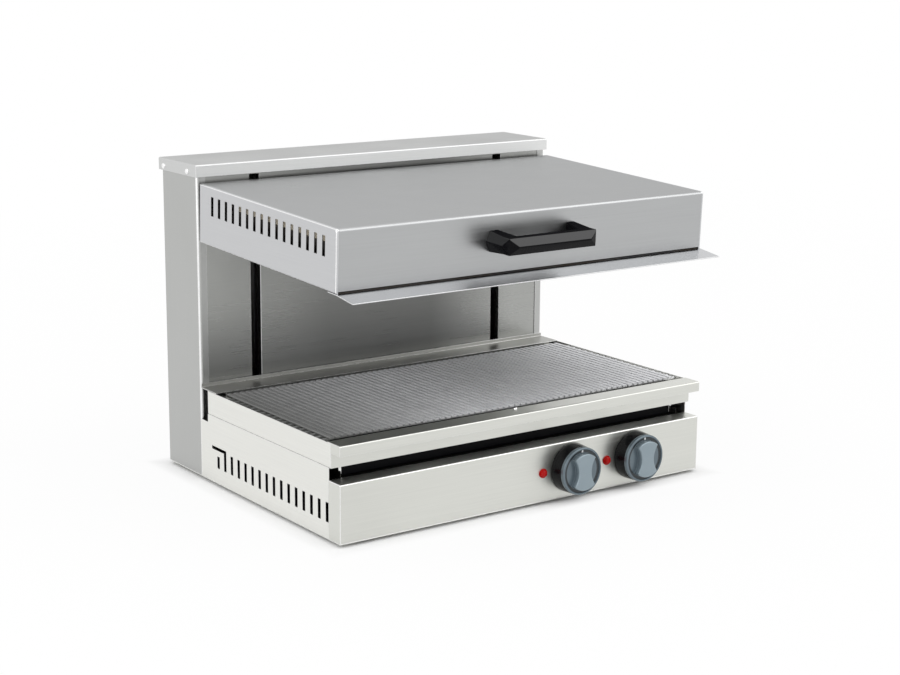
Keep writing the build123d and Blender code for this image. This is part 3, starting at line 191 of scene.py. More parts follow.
def combined(nodes, links, operation, first, second):
    """A sum on two values, each a socket or a number."""
    node = nodes.new("ShaderNodeMath")
    node.operation = operation
    for value, socket in ((first, node.inputs[0]), (second, node.inputs[1])):
        if isinstance(value, float):
            socket.default_value = value
        else:
            links.new(value, socket)
    return node.outputs["Value"]


def bump(nodes, links, shader, height, strength, depth):
    """Fine relief on a surface, its depth in metres."""
    relief = nodes.new("ShaderNodeBump")
    relief.inputs["Strength"].default_value = strength
    relief.inputs["Distance"].default_value = depth
    links.new(height, relief.inputs["Height"])
    links.new(relief.outputs["Normal"], shader.inputs["Normal"])


def mottled(name, spots, dark, light, rough, metal=0.0, relief=None, detail=4.0, shine=0.5):
    """A finish with spots to the metre in colour and gloss, and relief as (strength, metres)."""
    material, nodes, links, shader, place = start_material(name)
    variation = noise(nodes, links, place, (spots, spots, spots), detail)
    colour = ramp(nodes, links, variation, [(NOISE_LOW, dark), (NOISE_HIGH, light)])
    links.new(colour, shader.inputs["Base Color"])
    links.new(spread(nodes, links, variation, *rough), shader.inputs["Roughness"])
    shader.inputs["Metallic"].default_value = metal
    shader.inputs["Specular IOR Level"].default_value = shine
    if relief:
        bump(nodes, links, shader, variation, *relief)
    return material


STREAK_FINE = 620.0            # streaks to the metre across the grain
STREAK_LONG = 7.0              # and along it
STREAK_SHARE = 0.03            # lighter and darker than the mean
STREAK_GLOSS = 0.04            # duller and glossier than the mean
STREAK_RELIEF = (0.06, 0.00005)   # strength and metres
CLOUD_SCALE = (9.0, 9.0, 9.0)  # clouds to the metre
CLOUD_GLOSS = (-0.03, 0.04)    # glossier and duller than the streaks


def brushed_steel(name, grain, tone, gloss, grazing=1.0):
    """Brushed stainless: streaks along one axis, faint clouds and less glare at a low angle."""
    material, nodes, links, shader, place = start_material(name)
    across = [STREAK_LONG if axis == grain else STREAK_FINE for axis in "XYZ"]
    streaks = noise(nodes, links, place, across, detail=5.0, rough=0.6)
    clouds = noise(nodes, links, place, CLOUD_SCALE, detail=3.0)
    dark = [channel * (1 - STREAK_SHARE) for channel in tone]
    light = [channel * (1 + STREAK_SHARE) for channel in tone]
    colour = ramp(nodes, links, streaks, [(NOISE_LOW, dark), (NOISE_HIGH, light)])
    links.new(colour, shader.inputs["Base Color"])
    streaked = spread(nodes, links, streaks, gloss - STREAK_GLOSS, gloss + STREAK_GLOSS)
    clouded = spread(nodes, links, clouds, *CLOUD_GLOSS)
    links.new(combined(nodes, links, "ADD", streaked, clouded), shader.inputs["Roughness"])
    shader.inputs["Metallic"].default_value = 1.0
    shader.inputs["Specular Tint"].default_value = (grazing, grazing, grazing, 1.0)
    bump(nodes, links, shader, streaks, *STREAK_RELIEF)
    return material


front_steel = brushed_steel("front_steel", "X", (0.68, 0.685, 0.645), gloss=0.36)
# Broken edges and the outside of folds get this brighter steel: a painted highlight where the edges catch
# the light.
highlight_edge_steel = mottled(
    "bright_highlight_edge_steel", spots=90.0, dark=(0.84, 0.84, 0.84), light=(0.90, 0.90, 0.90),
    rough=(0.22, 0.32), metal=1.0,
)
coat(finished_copy("base_bottom", SHEET_EDGE), front_steel, highlight_edge_steel)

FOOT_EDGE = 0.0006
foot_rubber = mottled(
    "foot_rubber", spots=900.0, dark=(0.012, 0.012, 0.012), light=(0.03, 0.03, 0.031),
    rough=(0.65, 0.85), relief=(0.3, 0.0001),
)
coat(finished_copy("rubber_feet", FOOT_EDGE), foot_rubber)


# Front panel. One sheet folded at the top and at both ends, brushed across the grill.
# The dials and lamps come through round holes in its right half.
# The folds carry a painted highlight.


def paint_where(piece, material, wanted):
    """One more finish, on the faces that a test picks by their middle and direction."""
    piece.data.materials.append(material)
    number = len(piece.data.materials) - 1
    for face in piece.data.polygons:
        if wanted(face.center, face.normal):
            face.material_index = number


FOLD = 0.5                     # least share of two axes in the direction of a folded corner


def folded(middle, direction):
    """True on the rounded outside of a folded corner."""
    return sum(abs(share) > FOLD for share in direction) > 1


front_panel = coat(finished_copy("front_panel", SHEET_EDGE), front_steel, highlight_edge_steel)
paint_where(front_panel, highlight_edge_steel, folded)


# Base sides. Flat sheets with a row of punched vents, brushed from front to rear.
# A flange along the top carries the frame of the grid.

# The sides' steel is toned lighter than the front's: painted light, for the sides that face the lamp on
# the left.
side_steel = brushed_steel("base_side_steel", "Y", (0.79, 0.79, 0.755), gloss=0.38)
for side in ("left", "right"):
    piece = finished_copy(f"base_{side}_side", SHEET_EDGE, pierced=True)
    coat(piece, side_steel, highlight_edge_steel)


# Deck and tray runners. A plain inner sheet closes the base under the tray.
# Two angles spot-welded to it guide the tray. Both are given a near-black tone.

inner_steel = brushed_steel("inner_sheet_steel", "X", (0.035, 0.034, 0.032), gloss=0.5, grazing=0.3)
for node in ("deck", "tray_runners"):
    coat(finished_copy(node, SHEET_EDGE), inner_steel)


# Column shell. Two sides folded round the front corners, a slotted front and a vented back.
# The sides are brushed upright, the front and the back across.
# The middle of the front is darkened with painted shade, for the dark reflections it shows.


def shaded(material, axis, low, high, stops):
    """Tint a finish along one axis, between two places in metres."""
    nodes = material.node_tree.nodes
    links = material.node_tree.links
    colour = nodes["Principled BSDF"].inputs["Base Color"]
    parts = nodes.new("ShaderNodeSeparateXYZ")
    links.new(nodes["Texture Coordinate"].outputs["Object"], parts.inputs["Vector"])
    along = spread(nodes, links, parts.outputs[axis], 0.0, 1.0, low, high)
    tinted = nodes.new("ShaderNodeMix")
    tinted.data_type = "RGBA"
    tinted.blend_type = "MULTIPLY"
    tinted.inputs["Factor"].default_value = 1.0
    links.new(colour.links[0].from_socket, tinted.inputs["A"])
    links.new(ramp(nodes, links, along, stops), tinted.inputs["B"])
    links.new(tinted.outputs["Result"], colour)


COLUMN_TONE = (0.47, 0.475, 0.465)
COLUMN_HALF = 0.3              # metres from the middle to a side
# Painted shade: the column front is darker towards its middle.
PAINTED_SHADE_ACROSS = (                  # place across the front and share of the tone left there
    (0.0, (0.9, 0.9, 0.9)), (0.35, (0.5, 0.5, 0.5)), (0.65, (0.42, 0.42, 0.42)), (0.9, (0.9, 0.9, 0.9)),
)
column_side_steel = brushed_steel("column_side_steel", "Z", COLUMN_TONE, gloss=0.36)
column_steel = brushed_steel("column_steel", "X", COLUMN_TONE, gloss=0.34)
shaded_column_steel = brushed_steel("painted_shade_column_steel", "X", (0.42, 0.425, 0.41), gloss=0.30)
shaded(shaded_column_steel, "X", -COLUMN_HALF, COLUMN_HALF, PAINTED_SHADE_ACROSS)
# The folds and broken edges of the column carry the painted highlight.
for side in ("left", "right"):
    piece = finished_copy(f"column_{side}_side", SHEET_EDGE)
    coat(piece, column_side_steel, highlight_edge_steel)
    paint_where(piece, highlight_edge_steel, folded)
column_front = coat(finished_copy("column_front", SHEET_EDGE), shaded_column_steel, highlight_edge_steel)
paint_where(column_front, highlight_edge_steel, folded)
coat(finished_copy("column_back", SHEET_EDGE), column_steel, highlight_edge_steel)


# Screws in the column's back. Bright steel pan heads with a sunk drive.
# Two rows of five hold the back panel to the sides.

SCREW_INSET = 0.012            # from the panel's ends
SCREW_ROWS = (0.035, 0.135, 0.235, 0.335, 0.415)   # metres above the bench
SCREW_PROFILE = (               # radius and height in metres, from the rim to the drive's bottom
    (0.0036, -0.0004), (0.0036, 0.0008), (0.0033, 0.0014), (0.0024, 0.0019),
    (0.0016, 0.0020), (0.0013, 0.0009), (0.0004, 0.0008),
)
SPUN_SIDES = 32


def spun(name, profile, spots, axis, ring=False):
    """Turned pieces: (radius, height) points spun round an axis at each spot."""
    shape = bmesh.new()
    aim = Vector((0.0, 0.0, 1.0)).rotation_difference(Vector(axis)).to_matrix()
    turns = [2 * math.pi * side / SPUN_SIDES for side in range(SPUN_SIDES)]
    circle = [(math.cos(turn), math.sin(turn)) for turn in turns]
    for spot in spots:
        rings = []
        for radius, height in profile:
            points = [Vector((radius * x, radius * y, height)) for x, y in circle]
            rings.append([shape.verts.new(aim @ point + Vector(spot)) for point in points])
        following = rings[1:] + rings[:1] if ring else rings[1:]
        for here, after in zip(rings, following):
            for side in range(SPUN_SIDES):
                right = (side + 1) % SPUN_SIDES
                shape.faces.new((here[side], here[right], after[right], after[side]))
        if not ring:
            shape.faces.new(rings[0])
            shape.faces.new(rings[-1])
    bmesh.ops.recalc_face_normals(shape, faces=shape.faces)
    for face in shape.faces:
        face.smooth = True
    mesh = bpy.data.meshes.new(name)
    shape.to_mesh(mesh)
    shape.free()
    mesh.set_sharp_from_angle(angle=SHARP)
    piece = bpy.data.objects.new(name, mesh)
    bpy.context.scene.collection.objects.link(piece)
    return piece


bright_steel = mottled(
    "polished_steel", spots=260.0, dark=(0.60, 0.60, 0.61), light=(0.70, 0.70, 0.71),
    rough=(0.12, 0.22), metal=1.0,
)
back_low, back_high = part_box("column_back")
screw_spots = []
for screw_z in SCREW_ROWS:
    for screw_x in (back_low.x + SCREW_INSET, back_high.x - SCREW_INSET):
        screw_spots.append((screw_x, back_high.y, screw_z))
back_screws = spun("column_back_screws", SCREW_PROFILE, screw_spots, (0.0, 1.0, 0.0))
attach(back_screws, "base")
coat(back_screws, bright_steel)


# Guide rods, their blocks and the top beam. The rods are ground and polished steel.
# The beam and the blocks are zinc-plated, with the faint clouded bloom of plating.

ROD_EDGE = 0.0008
plated_steel = mottled(
    "zinc_plate", spots=60.0, dark=(0.40, 0.41, 0.43), light=(0.55, 0.56, 0.57), rough=(0.3, 0.5),
    metal=1.0, relief=(0.1, 0.0001), detail=5.0,
)
for node in ("top_beam", "rod_blocks"):
    coat(finished_copy(node, SHEET_EDGE), plated_steel)
coat(finished_copy("guide_rods", ROD_EDGE), bright_steel)


# Counterweight, its shoes and channels. A rough iron casting slung on the cables.
# Nylon shoes run in two folded channels on the column's back.

WEIGHT_EDGE = 0.0015
SHOE_EDGE = 0.0008
weight_iron = mottled(
    "sand_cast_iron", spots=350.0, dark=(0.03, 0.03, 0.032), light=(0.075, 0.074, 0.073),
    rough=(0.55, 0.8), metal=0.6, relief=(0.6, 0.0004), detail=5.0,
)
coat(finished_copy("counterweight", WEIGHT_EDGE), weight_iron)

nylon = mottled(
    "natural_nylon", spots=120.0, dark=(0.62, 0.60, 0.53), light=(0.70, 0.68, 0.61), rough=(0.35, 0.5),
    detail=3.0,
)
coat(finished_copy("counterweight_shoes", SHOE_EDGE), nylon)
coat(finished_copy("counterweight_guides", SHEET_EDGE), plated_steel)


# Carriages, arms and screws. Cast blocks slide on the rods in bronze bushes.
# A bar joins them, and bolted arms reach out through the column's slots to the hood.

CAST_EDGE = 0.0006
MACHINED_EDGE = 0.0004
carriage_alloy = mottled(
    "cast_alloy", spots=220.0, dark=(0.46, 0.46, 0.47), light=(0.56, 0.56, 0.57), rough=(0.4, 0.55),
    metal=1.0, relief=(0.3, 0.0002),
)
for node in ("hood_carriages", "cable_anchors"):
    coat(finished_copy(node, CAST_EDGE, pierced=True), carriage_alloy)

bronze = mottled(
    "sintered_bronze", spots=600.0, dark=(0.36, 0.22, 0.09), light=(0.50, 0.33, 0.15),
    rough=(0.35, 0.5), metal=1.0,
)
coat(finished_copy("guide_bushes", SHEET_EDGE), bronze)

for node in ("carriage_bar", "hood_arms", "arm_brackets"):
    coat(finished_copy(node, MACHINED_EDGE), plated_steel)
coat(finished_copy("hood_screws", MACHINED_EDGE), bright_steel)


# Pulleys, their brackets and axles. Turned nylon sheaves run on steel axles.
# Each sits between the cheeks of a bracket welded to the top beam.

for side in ("left", "right"):
    coat(finished_copy(f"{side}_pulley", MACHINED_EDGE), nylon)
coat(finished_copy("pulley_brackets", SHEET_EDGE), plated_steel)
coat(finished_copy("pulley_axles", MACHINED_EDGE), bright_steel)


# Lift cables. Two stranded steel cables go from the carriages over the pulleys to the counterweight.
# The turn over the pulley is fixed to the base, and the front and rear runs are built in place.

CABLE_RADIUS = 0.0015
STRANDS = 6
STRAND_DEPTH = 0.14            # share of the radius between a strand's crown and the groove
LAY_LENGTH = 0.018             # one full twist of the strands
CABLE_SIDES = 24
RING_STEP = 0.0015

pulley_low, pulley_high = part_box("left_pulley")
pulley_middle = (pulley_low + pulley_high) / 2
cable_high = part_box("lift_cables")[1]
anchor_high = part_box("cable_anchors")[1]
weight_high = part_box("counterweight")[1]
cable_x = abs(pulley_middle.x)
wrap_radius = cable_high.z - CABLE_RADIUS - pulley_middle.z


def cable_mesh(name, line):
    """Twisted strands along a line in the YZ plane, closed at both ends."""
    shape = bmesh.new()
    rings = []
    travelled = 0.0
    for number, (point, ahead) in enumerate(line):
        if number:
            travelled += (point - line[number - 1][0]).length
        across = Vector((1.0, 0.0, 0.0))
        out = ahead.cross(across).normalized()
        ring = []
        for side in range(CABLE_SIDES):
            turn = 2 * math.pi * side / CABLE_SIDES
            lay = turn - 2 * math.pi * travelled / LAY_LENGTH
            reach = CABLE_RADIUS * (1 - STRAND_DEPTH * (1 - abs(math.cos(STRANDS * lay / 2))))
            aside = across * math.cos(turn) + out * math.sin(turn)
            ring.append(shape.verts.new(point + aside * reach))
        rings.append(ring)
    for ring, following in zip(rings, rings[1:]):
        for side in range(CABLE_SIDES):
            after = (side + 1) % CABLE_SIDES
            shape.faces.new((ring[side], ring[after], following[after], following[side]))
    shape.faces.new(rings[0])
    shape.faces.new(rings[-1])
    bmesh.ops.recalc_face_normals(shape, faces=shape.faces)
    for face in shape.faces:
        face.smooth = len(face.verts) == 4
    mesh = bpy.data.meshes.new(name)
    shape.to_mesh(mesh)
    shape.free()
    piece = bpy.data.objects.new(name, mesh)
    bpy.context.scene.collection.objects.link(piece)
    return piece


def straight_line(start, end):
    """Points and directions from one place to another."""
    steps = max(2, round((end - start).length / RING_STEP))
    ahead = (end - start).normalized()
    return [(start.lerp(end, step / steps), ahead) for step in range(steps + 1)]


cable_steel = mottled(
    "stranded_steel", spots=500.0, dark=(0.22, 0.22, 0.22), light=(0.42, 0.42, 0.42),
    rough=(0.25, 0.45), metal=1.0,
)
front_y = pulley_middle.y - wrap_radius
rear_y = pulley_middle.y + wrap_radius
wrap_steps = round(math.pi * wrap_radius / RING_STEP)
for name, x in (("left", -cable_x), ("right", cable_x)):
    anchor = Vector((x, front_y, anchor_high.z))
    front_top = Vector((x, front_y, pulley_middle.z))
    rear_top = Vector((x, rear_y, pulley_middle.z))
    lug = Vector((x, rear_y, weight_high.z))
    front_run = cable_mesh(f"{name}_cable_front_run", straight_line(front_top, anchor))
    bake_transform(front_run)
    rear_run = cable_mesh(f"{name}_cable_rear_run", straight_line(rear_top, lug))
    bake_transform(rear_run)
    over = []
    for step in range(wrap_steps + 1):
        turn = math.pi * step / wrap_steps
        back = pulley_middle.y - wrap_radius * math.cos(turn)
        rise = pulley_middle.z + wrap_radius * math.sin(turn)
        over.append((Vector((x, back, rise)), Vector((0.0, math.sin(turn), math.cos(turn)))))
    wrap = cable_mesh(f"{name}_cable_over_pulley", over)
    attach(wrap, "base")
    for piece in (front_run, rear_run, wrap):
        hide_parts("lift_cables")
        coat(piece, cable_steel)


# Column cap and its rivets. A shallow lid folded down on all four sides closes the column.
# Two domed rivets hold it on each end.

cap_steel = brushed_steel("cap_steel", "X", (0.70, 0.705, 0.70), gloss=0.42, grazing=0.45)
coat(finished_copy("top_cap", SHEET_EDGE), cap_steel, highlight_edge_steel)
rivet_steel = mottled(
    "rivet_steel", spots=300.0, dark=(0.88, 0.88, 0.88), light=(0.94, 0.94, 0.94), rough=(0.2, 0.3),
    metal=1.0,
)
coat(frame["nodes"]["cap_rivets"], rivet_steel)


# Grid surround. A front rail with a nosing, two side rails and a rear shelf of folded sheet.
# They rest on the base and hold the grid on narrow ledges.
# The shelf's steel is toned dark as painted shade, for the hood's shadow and the dark column that it
# reflects.

coat(finished_copy("frame_front_rail", SHEET_EDGE), front_steel, highlight_edge_steel)
shelf_painted_shade_steel = brushed_steel("shelf_painted_shade_steel", "X", (0.40, 0.40, 0.38), gloss=0.36)
coat(finished_copy("rear_shelf", SHEET_EDGE), shelf_painted_shade_steel, highlight_edge_steel)
coat(finished_copy("frame_side_rails", SHEET_EDGE), side_steel, highlight_edge_steel)


# Stud on the front rail. A small bright steel locating stud with a low dome.
# It is pressed into the back of the rail's flat top, ahead of the grid.

STUD_X = -0.009                # metres from the middle
STUD_SETBACK = 0.0045          # ahead of the rear edge of the rail's top
STUD_PROFILE = ((0.0026, -0.0003), (0.0026, 0.0012), (0.0021, 0.0020), (0.0012, 0.0025), (0.0003, 0.0026))
rail_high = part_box("frame_front_rail")[1]
rail_stud = spun(
    "front_rail_stud", STUD_PROFILE, [(STUD_X, rail_high.y - STUD_SETBACK, rail_high.z)], (0.0, 0.0, 1.0)
)
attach(rail_stud, "base")
coat(rail_stud, rivet_steel)


# Drip tray. A shallow pan pressed from sheet and enamelled black.
# It lies on its runners and draws out to the front through the gap over the panel.

tray_enamel = mottled(
    "tray_enamel", spots=45.0, dark=(0.002, 0.002, 0.003), light=(0.005, 0.005, 0.006),
    rough=(0.35, 0.5), relief=(0.15, 0.0002), shine=0.05,
)
coat(finished_copy("drip_tray", SHEET_EDGE), tray_enamel)


# Tray corners. A bright steel strip on each front corner of the tray is a painted highlight, for the
# light caught on the enamel's corners.
# It stands a little in front of the enamel.

STRIP_WIDTH = 0.0044
STRIP_RISE = 0.0005


def small_bar(name, spot, size, edge):
    """A bar with rounded edges round a spot."""
    shape = bmesh.new()
    bmesh.ops.create_cube(shape, size=1.0)
    for corner in shape.verts:
        corner.co = Vector(spot) + Vector([share * length for share, length in zip(corner.co, size)])
    bmesh.ops.bevel(
        shape, geom=shape.edges, offset=edge, segments=EDGE_STEPS, affect="EDGES", profile=0.5
    )
    mesh = bpy.data.meshes.new(name)
    shape.to_mesh(mesh)
    shape.free()
    piece = bpy.data.objects.new(name, mesh)
    bpy.context.scene.collection.objects.link(piece)
    return piece


tray_low, tray_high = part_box("drip_tray")
strip_z = (tray_low.z + tray_high.z) / 2
for name, strip_x in (("left", tray_low.x + STRIP_WIDTH / 2), ("right", tray_high.x - STRIP_WIDTH / 2)):
    strip = small_bar(
        f"{name}_tray_corner_highlight", (strip_x, tray_low.y, strip_z),
        (STRIP_WIDTH, 2 * STRIP_RISE, tray_high.z - tray_low.z), STRIP_RISE / 2,
    )
    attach(strip, "drip_tray")
    coat(strip, bright_steel)


# Wire grid. Flat wires welded on round cross wires, then chromed.
# Heat and fat have dulled the plating in patches, and the wires are darkened towards the left with
# painted shade.

# Painted shade across the grid: dark on the left, plain tone from near the middle.
PAINTED_SHADE_FROM = -0.3               # metres from the middle
PAINTED_SHADE_TO = -0.05
PAINTED_SHADE_TINT = ((0.0, (0.22, 0.22, 0.21)), (1.0, (1.0, 1.0, 1.0)))
grid_chrome = mottled(
    "grid_chrome", spots=35.0, dark=(0.85, 0.855, 0.875), light=(0.92, 0.925, 0.94), rough=(0.52, 0.62),
    metal=0.3,
)
shaded(grid_chrome, "X", PAINTED_SHADE_FROM, PAINTED_SHADE_TO, PAINTED_SHADE_TINT)
coat(frame["nodes"]["wire_grid"], grid_chrome)


# Hood shell. A cover folded over the top and front, vented sides with a rounded rim, a rear plate
# and a closing sheet. A thin lip is fixed under the front edge and juts out over the dials.
# The rims carry a painted highlight.

hood_steel = brushed_steel("hood_steel", "X", (0.45, 0.457, 0.46), gloss=0.33, grazing=0.72)
hood_side_steel = brushed_steel("hood_side_steel", "Y", (0.57, 0.575, 0.585), gloss=0.36)
under_steel = brushed_steel("hood_under_steel", "X", (0.22, 0.22, 0.22), gloss=0.40)
# The lip's tone is lowered as painted shade, for the shadow and the dark reflection that fall along it.
lip_steel = brushed_steel("lip_steel", "X", (0.52, 0.525, 0.54), gloss=0.2)
coat(finished_copy("hood_cover", SHEET_EDGE), hood_steel)
coat(finished_copy("hood_lip", SHEET_EDGE), lip_steel, highlight_edge_steel)
for node in ("hood_rear", "hood_bottom_cover"):
    coat(finished_copy(node, SHEET_EDGE), under_steel)
for side in ("left", "right"):
    piece = coat(finished_copy(f"hood_{side}_side", SHEET_EDGE), hood_side_steel)
    paint_where(piece, highlight_edge_steel, folded)


# Heat box. A steel reflector with ceramic wool over it and a tubular element for each zone.
# Heat has browned the reflector and scaled the tubes; the reflector is also darkened nearly to black as
# painted shade, where it shows through the gap under the hood's front.

BROWN_SCALE = (14.0, 14.0, 14.0)   # patches to the metre
BROWN_AND_SHADE_STOPS = (
    (NOISE_LOW, (0.045, 0.036, 0.028)), (0.5, (0.06, 0.055, 0.05)), (NOISE_HIGH, (0.04, 0.04, 0.045)),
)
BROWN_ROUGH = (0.3, 0.46)
WOOL_EDGE = 0.002
reflector_steel, nodes, links, shader, place = start_material("browned_and_shaded_reflector")
tint = noise(nodes, links, place, BROWN_SCALE)
links.new(ramp(nodes, links, tint, BROWN_AND_SHADE_STOPS), shader.inputs["Base Color"])
links.new(spread(nodes, links, tint, *BROWN_ROUGH), shader.inputs["Roughness"])
shader.inputs["Metallic"].default_value = 1.0
coat(finished_copy("reflector", SHEET_EDGE), reflector_steel)

wool = mottled(
    "ceramic_wool", spots=190.0, dark=(0.66, 0.58, 0.44), light=(0.86, 0.79, 0.65), rough=(0.9, 0.98),
    relief=(0.8, 0.0008), detail=6.0,
)
coat(finished_copy("insulation", WOOL_EDGE), wool)

element_scale = mottled(
    "element_scale", spots=240.0, dark=(0.045, 0.04, 0.036), light=(0.13, 0.12, 0.11),
    rough=(0.45, 0.7), metal=0.8, relief=(0.3, 0.0001), detail=5.0,
)
for side in ("left", "right"):
    coat(frame["nodes"][f"{side}_element"], element_scale)
coat(finished_copy("element_bushes", SHEET_EDGE), bronze)
coat(finished_copy("element_rest_bars", SHEET_EDGE), plated_steel)


# Handle. A black moulding with flat facets either side of a ridge.
# Hands have polished the upper facets, and its top is finely grained.
# Two screws from inside the hood hold its legs to the face.

BLACK_DARK = (0.002, 0.002, 0.003)
BLACK_LIGHT = (0.004, 0.004, 0.005)
FACET_LEAST = 0.2              # an upper facet faces upward by at least this share
FACET_MOST = 0.9               # and by less than this, or it is the top
handle_matt = mottled(
    "black_moulding", spots=300.0, dark=BLACK_DARK, light=BLACK_LIGHT, rough=(0.22, 0.30),
    relief=(0.03, 0.00005), shine=0.07,
)
handle_gloss = mottled(
    "polished_moulding", spots=300.0, dark=BLACK_DARK, light=BLACK_LIGHT, rough=(0.08, 0.12),
    relief=(0.03, 0.00005), shine=0.5,
)
handle_grain = mottled(
    "grained_moulding", spots=900.0, dark=BLACK_DARK, light=BLACK_LIGHT, rough=(0.6, 0.75),
    relief=(0.3, 0.0001), shine=0.01,
)
handle = finished_copy("hood_handle", MACHINED_EDGE, pierced=True)
coat(handle, handle_matt)
paint_where(handle, handle_gloss, lambda middle, direction: FACET_LEAST < direction.z < FACET_MOST)
paint_where(handle, handle_grain, lambda middle, direction: direction.z >= FACET_MOST)


# Dials. Each switch has a steel shaft with a black skirt and a blue-grey face with a grip bar.
# The face is a metallic moulding with a ring let into it, painted dark as shade for the dark reflection
# in the sunk ring, and a white mark points to the setting.

MOULDED_EDGE = 0.0008
switch_black = mottled(
    "switch_moulding", spots=700.0, dark=(0.02, 0.02, 0.02), light=(0.05, 0.05, 0.05), rough=(0.5, 0.7),
    relief=(0.2, 0.0001),
)
coat(finished_copy("heat_switches", MOULDED_EDGE), switch_black)

FACE_DARK = (0.13, 0.165, 0.19)
FACE_LIGHT = (0.145, 0.185, 0.21)
GRIP_DARK = (0.25, 0.31, 0.345)
GRIP_LIGHT = (0.27, 0.33, 0.365)
FACE_EDGE = 0.0005
knob_grey = mottled(
    "knob_blue_grey", spots=40.0, dark=FACE_DARK, light=FACE_LIGHT, rough=(0.22, 0.26), metal=0.4,
    detail=2.0,
)
grip_grey = mottled(
    "grip_blue_grey", spots=40.0, dark=GRIP_DARK, light=GRIP_LIGHT, rough=(0.22, 0.26), metal=0.4,
    detail=2.0,
)
# Painted shade: the sunk ring is coloured near black for the dark reflection it shows.
ring_painted_shade = mottled(
    "dial_ring_painted_shade", spots=60.0, dark=(0.02, 0.026, 0.03), light=(0.026, 0.033, 0.037),
    rough=(0.14, 0.2), detail=2.0,
)
skirt_black = mottled(
    "skirt_moulding", spots=300.0, dark=(0.003, 0.003, 0.004), light=(0.006, 0.006, 0.007),
    rough=(0.2, 0.28), detail=2.0, shine=0.12,
)
pointer_white = mottled(
    "pointer_paint", spots=500.0, dark=(0.74, 0.75, 0.75), light=(0.84, 0.85, 0.85), rough=(0.4, 0.55)
)

GRIP_HEIGHT = 0.009            # metres from the sunk ring's floor to the front of the grip
GRIP_FOOT = GRIP_HEIGHT / 3    # and to the start of the grip's lighter paint
RING_INSIDE = 0.0262
RING_OUTSIDE = 0.0298
RING_RISE = 0.0003
RING_EDGE = RING_RISE / 2
RING_PROFILE = (
    (RING_INSIDE, -RING_RISE), (RING_INSIDE, RING_EDGE), (RING_INSIDE + RING_EDGE, RING_RISE),
    (RING_OUTSIDE - RING_EDGE, RING_RISE), (RING_OUTSIDE, RING_EDGE), (RING_OUTSIDE, -RING_RISE),
)
POINTER_WIDTH = 0.0024
POINTER_HEIGHT = 0.0034
POINTER_RISE = 0.0004

for side in ("left", "right"):
    coat(finished_copy(f"{side}_switch_shaft", SHEET_EDGE), bright_steel)
    coat(finished_copy(f"{side}_knob_skirt", MOULDED_EDGE), skirt_black)
    face = coat(finished_copy(f"{side}_knob_face", FACE_EDGE, pierced=True), knob_grey)
    face_low, face_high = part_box(f"{side}_knob_face")
    dial = (face_low + face_high) / 2
    ring_floor = face_low.y + GRIP_HEIGHT
    grip_limit = ring_floor - GRIP_FOOT
    paint_where(face, grip_grey, lambda middle, direction: middle.y < grip_limit)
    spot = (dial.x, ring_floor, dial.z)
    ring = spun(f"{side}_dial_ring", RING_PROFILE, [spot], (0.0, -1.0, 0.0), ring=True)
    mark_z = dial.z + (RING_INSIDE + RING_OUTSIDE) / 2
    mark = small_bar(
        f"{side}_dial_pointer", (dial.x, ring_floor - RING_RISE, mark_z),
        (POINTER_WIDTH, 2 * POINTER_RISE, POINTER_HEIGHT), POINTER_RISE / 2,
    )
    for piece, material, slot in ((ring, ring_painted_shade, "black_plastic"), (mark, pointer_white, "nylon")):
        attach(piece, f"{side}_knob")
        coat(piece, material)


# Pilot lamps. Red lenses with a low dome, pushed into the panel to the left of each dial.
# The moulding is clear red over a dark bulb holder.

LENS_EDGE = 0.0003
lamp_red = mottled(
    "lamp_red", spots=420.0, dark=(0.38, 0.0036, 0.0027), light=(0.45, 0.0063, 0.0054),
    rough=(0.12, 0.22), detail=2.0, shine=0.15,
)
coat(finished_copy("pilot_lamps", LENS_EDGE), lamp_red)


# Terminals and cable gland. The lead's inlet is a black gland low on the column's back.
# Its wires end on a block of terminals inside the base.

GLAND_EDGE = 0.0006
coat(finished_copy("terminal_block", MOULDED_EDGE), switch_black)
coat(finished_copy("cable_gland", GLAND_EDGE), switch_black)


# Studio. A white floor without an edge and soft lamps: one on the left, one in front and one above.
# Seen by the camera and in reflections the floor and the room are white.

FLOOR_SIZE = 40.0
FLOOR_DROP = 0.0002            # metres below the feet
FLOOR_WHITE = (0.9, 0.9, 0.9, 1.0)
FAR_REACH = 2.4                # metres from the base at which the floor is plain white
GLOW_STOPS = (                 # share of that white that the lamps don't make, out from under the base
    (0.0, 0.0), (0.004, 0.35), (0.012, 0.9), (0.2, 0.96), (1.0, 1.0),
)

floor_mesh = bpy.data.meshes.new("floor")
half = FLOOR_SIZE / 2
corners = [(-half, -half, 0), (half, -half, 0), (half, half, 0), (-half, half, 0)]
floor_mesh.from_pydata(corners, [], [(0, 1, 2, 3)])
floor = bpy.data.objects.new("floor", floor_mesh)
bpy.context.scene.collection.objects.link(floor)
floor.location.z = -FLOOR_DROP


def seen_directly(nodes, links):
    """One for camera, glossy and transmission rays, and nothing for the rest."""
    path = nodes.new("ShaderNodeLightPath").outputs
    seen = combined(nodes, links, "MAXIMUM", path["Is Camera Ray"], path["Is Glossy Ray"])
    return combined(nodes, links, "MAXIMUM", seen, path["Is Transmission Ray"])


floor_white, nodes, links, shader, place = start_material("floor_white")
nodes.remove(shader)
matt_white = nodes.new("ShaderNodeBsdfDiffuse")
matt_white.inputs["Color"].default_value = FLOOR_WHITE
glow = nodes.new("ShaderNodeEmission")

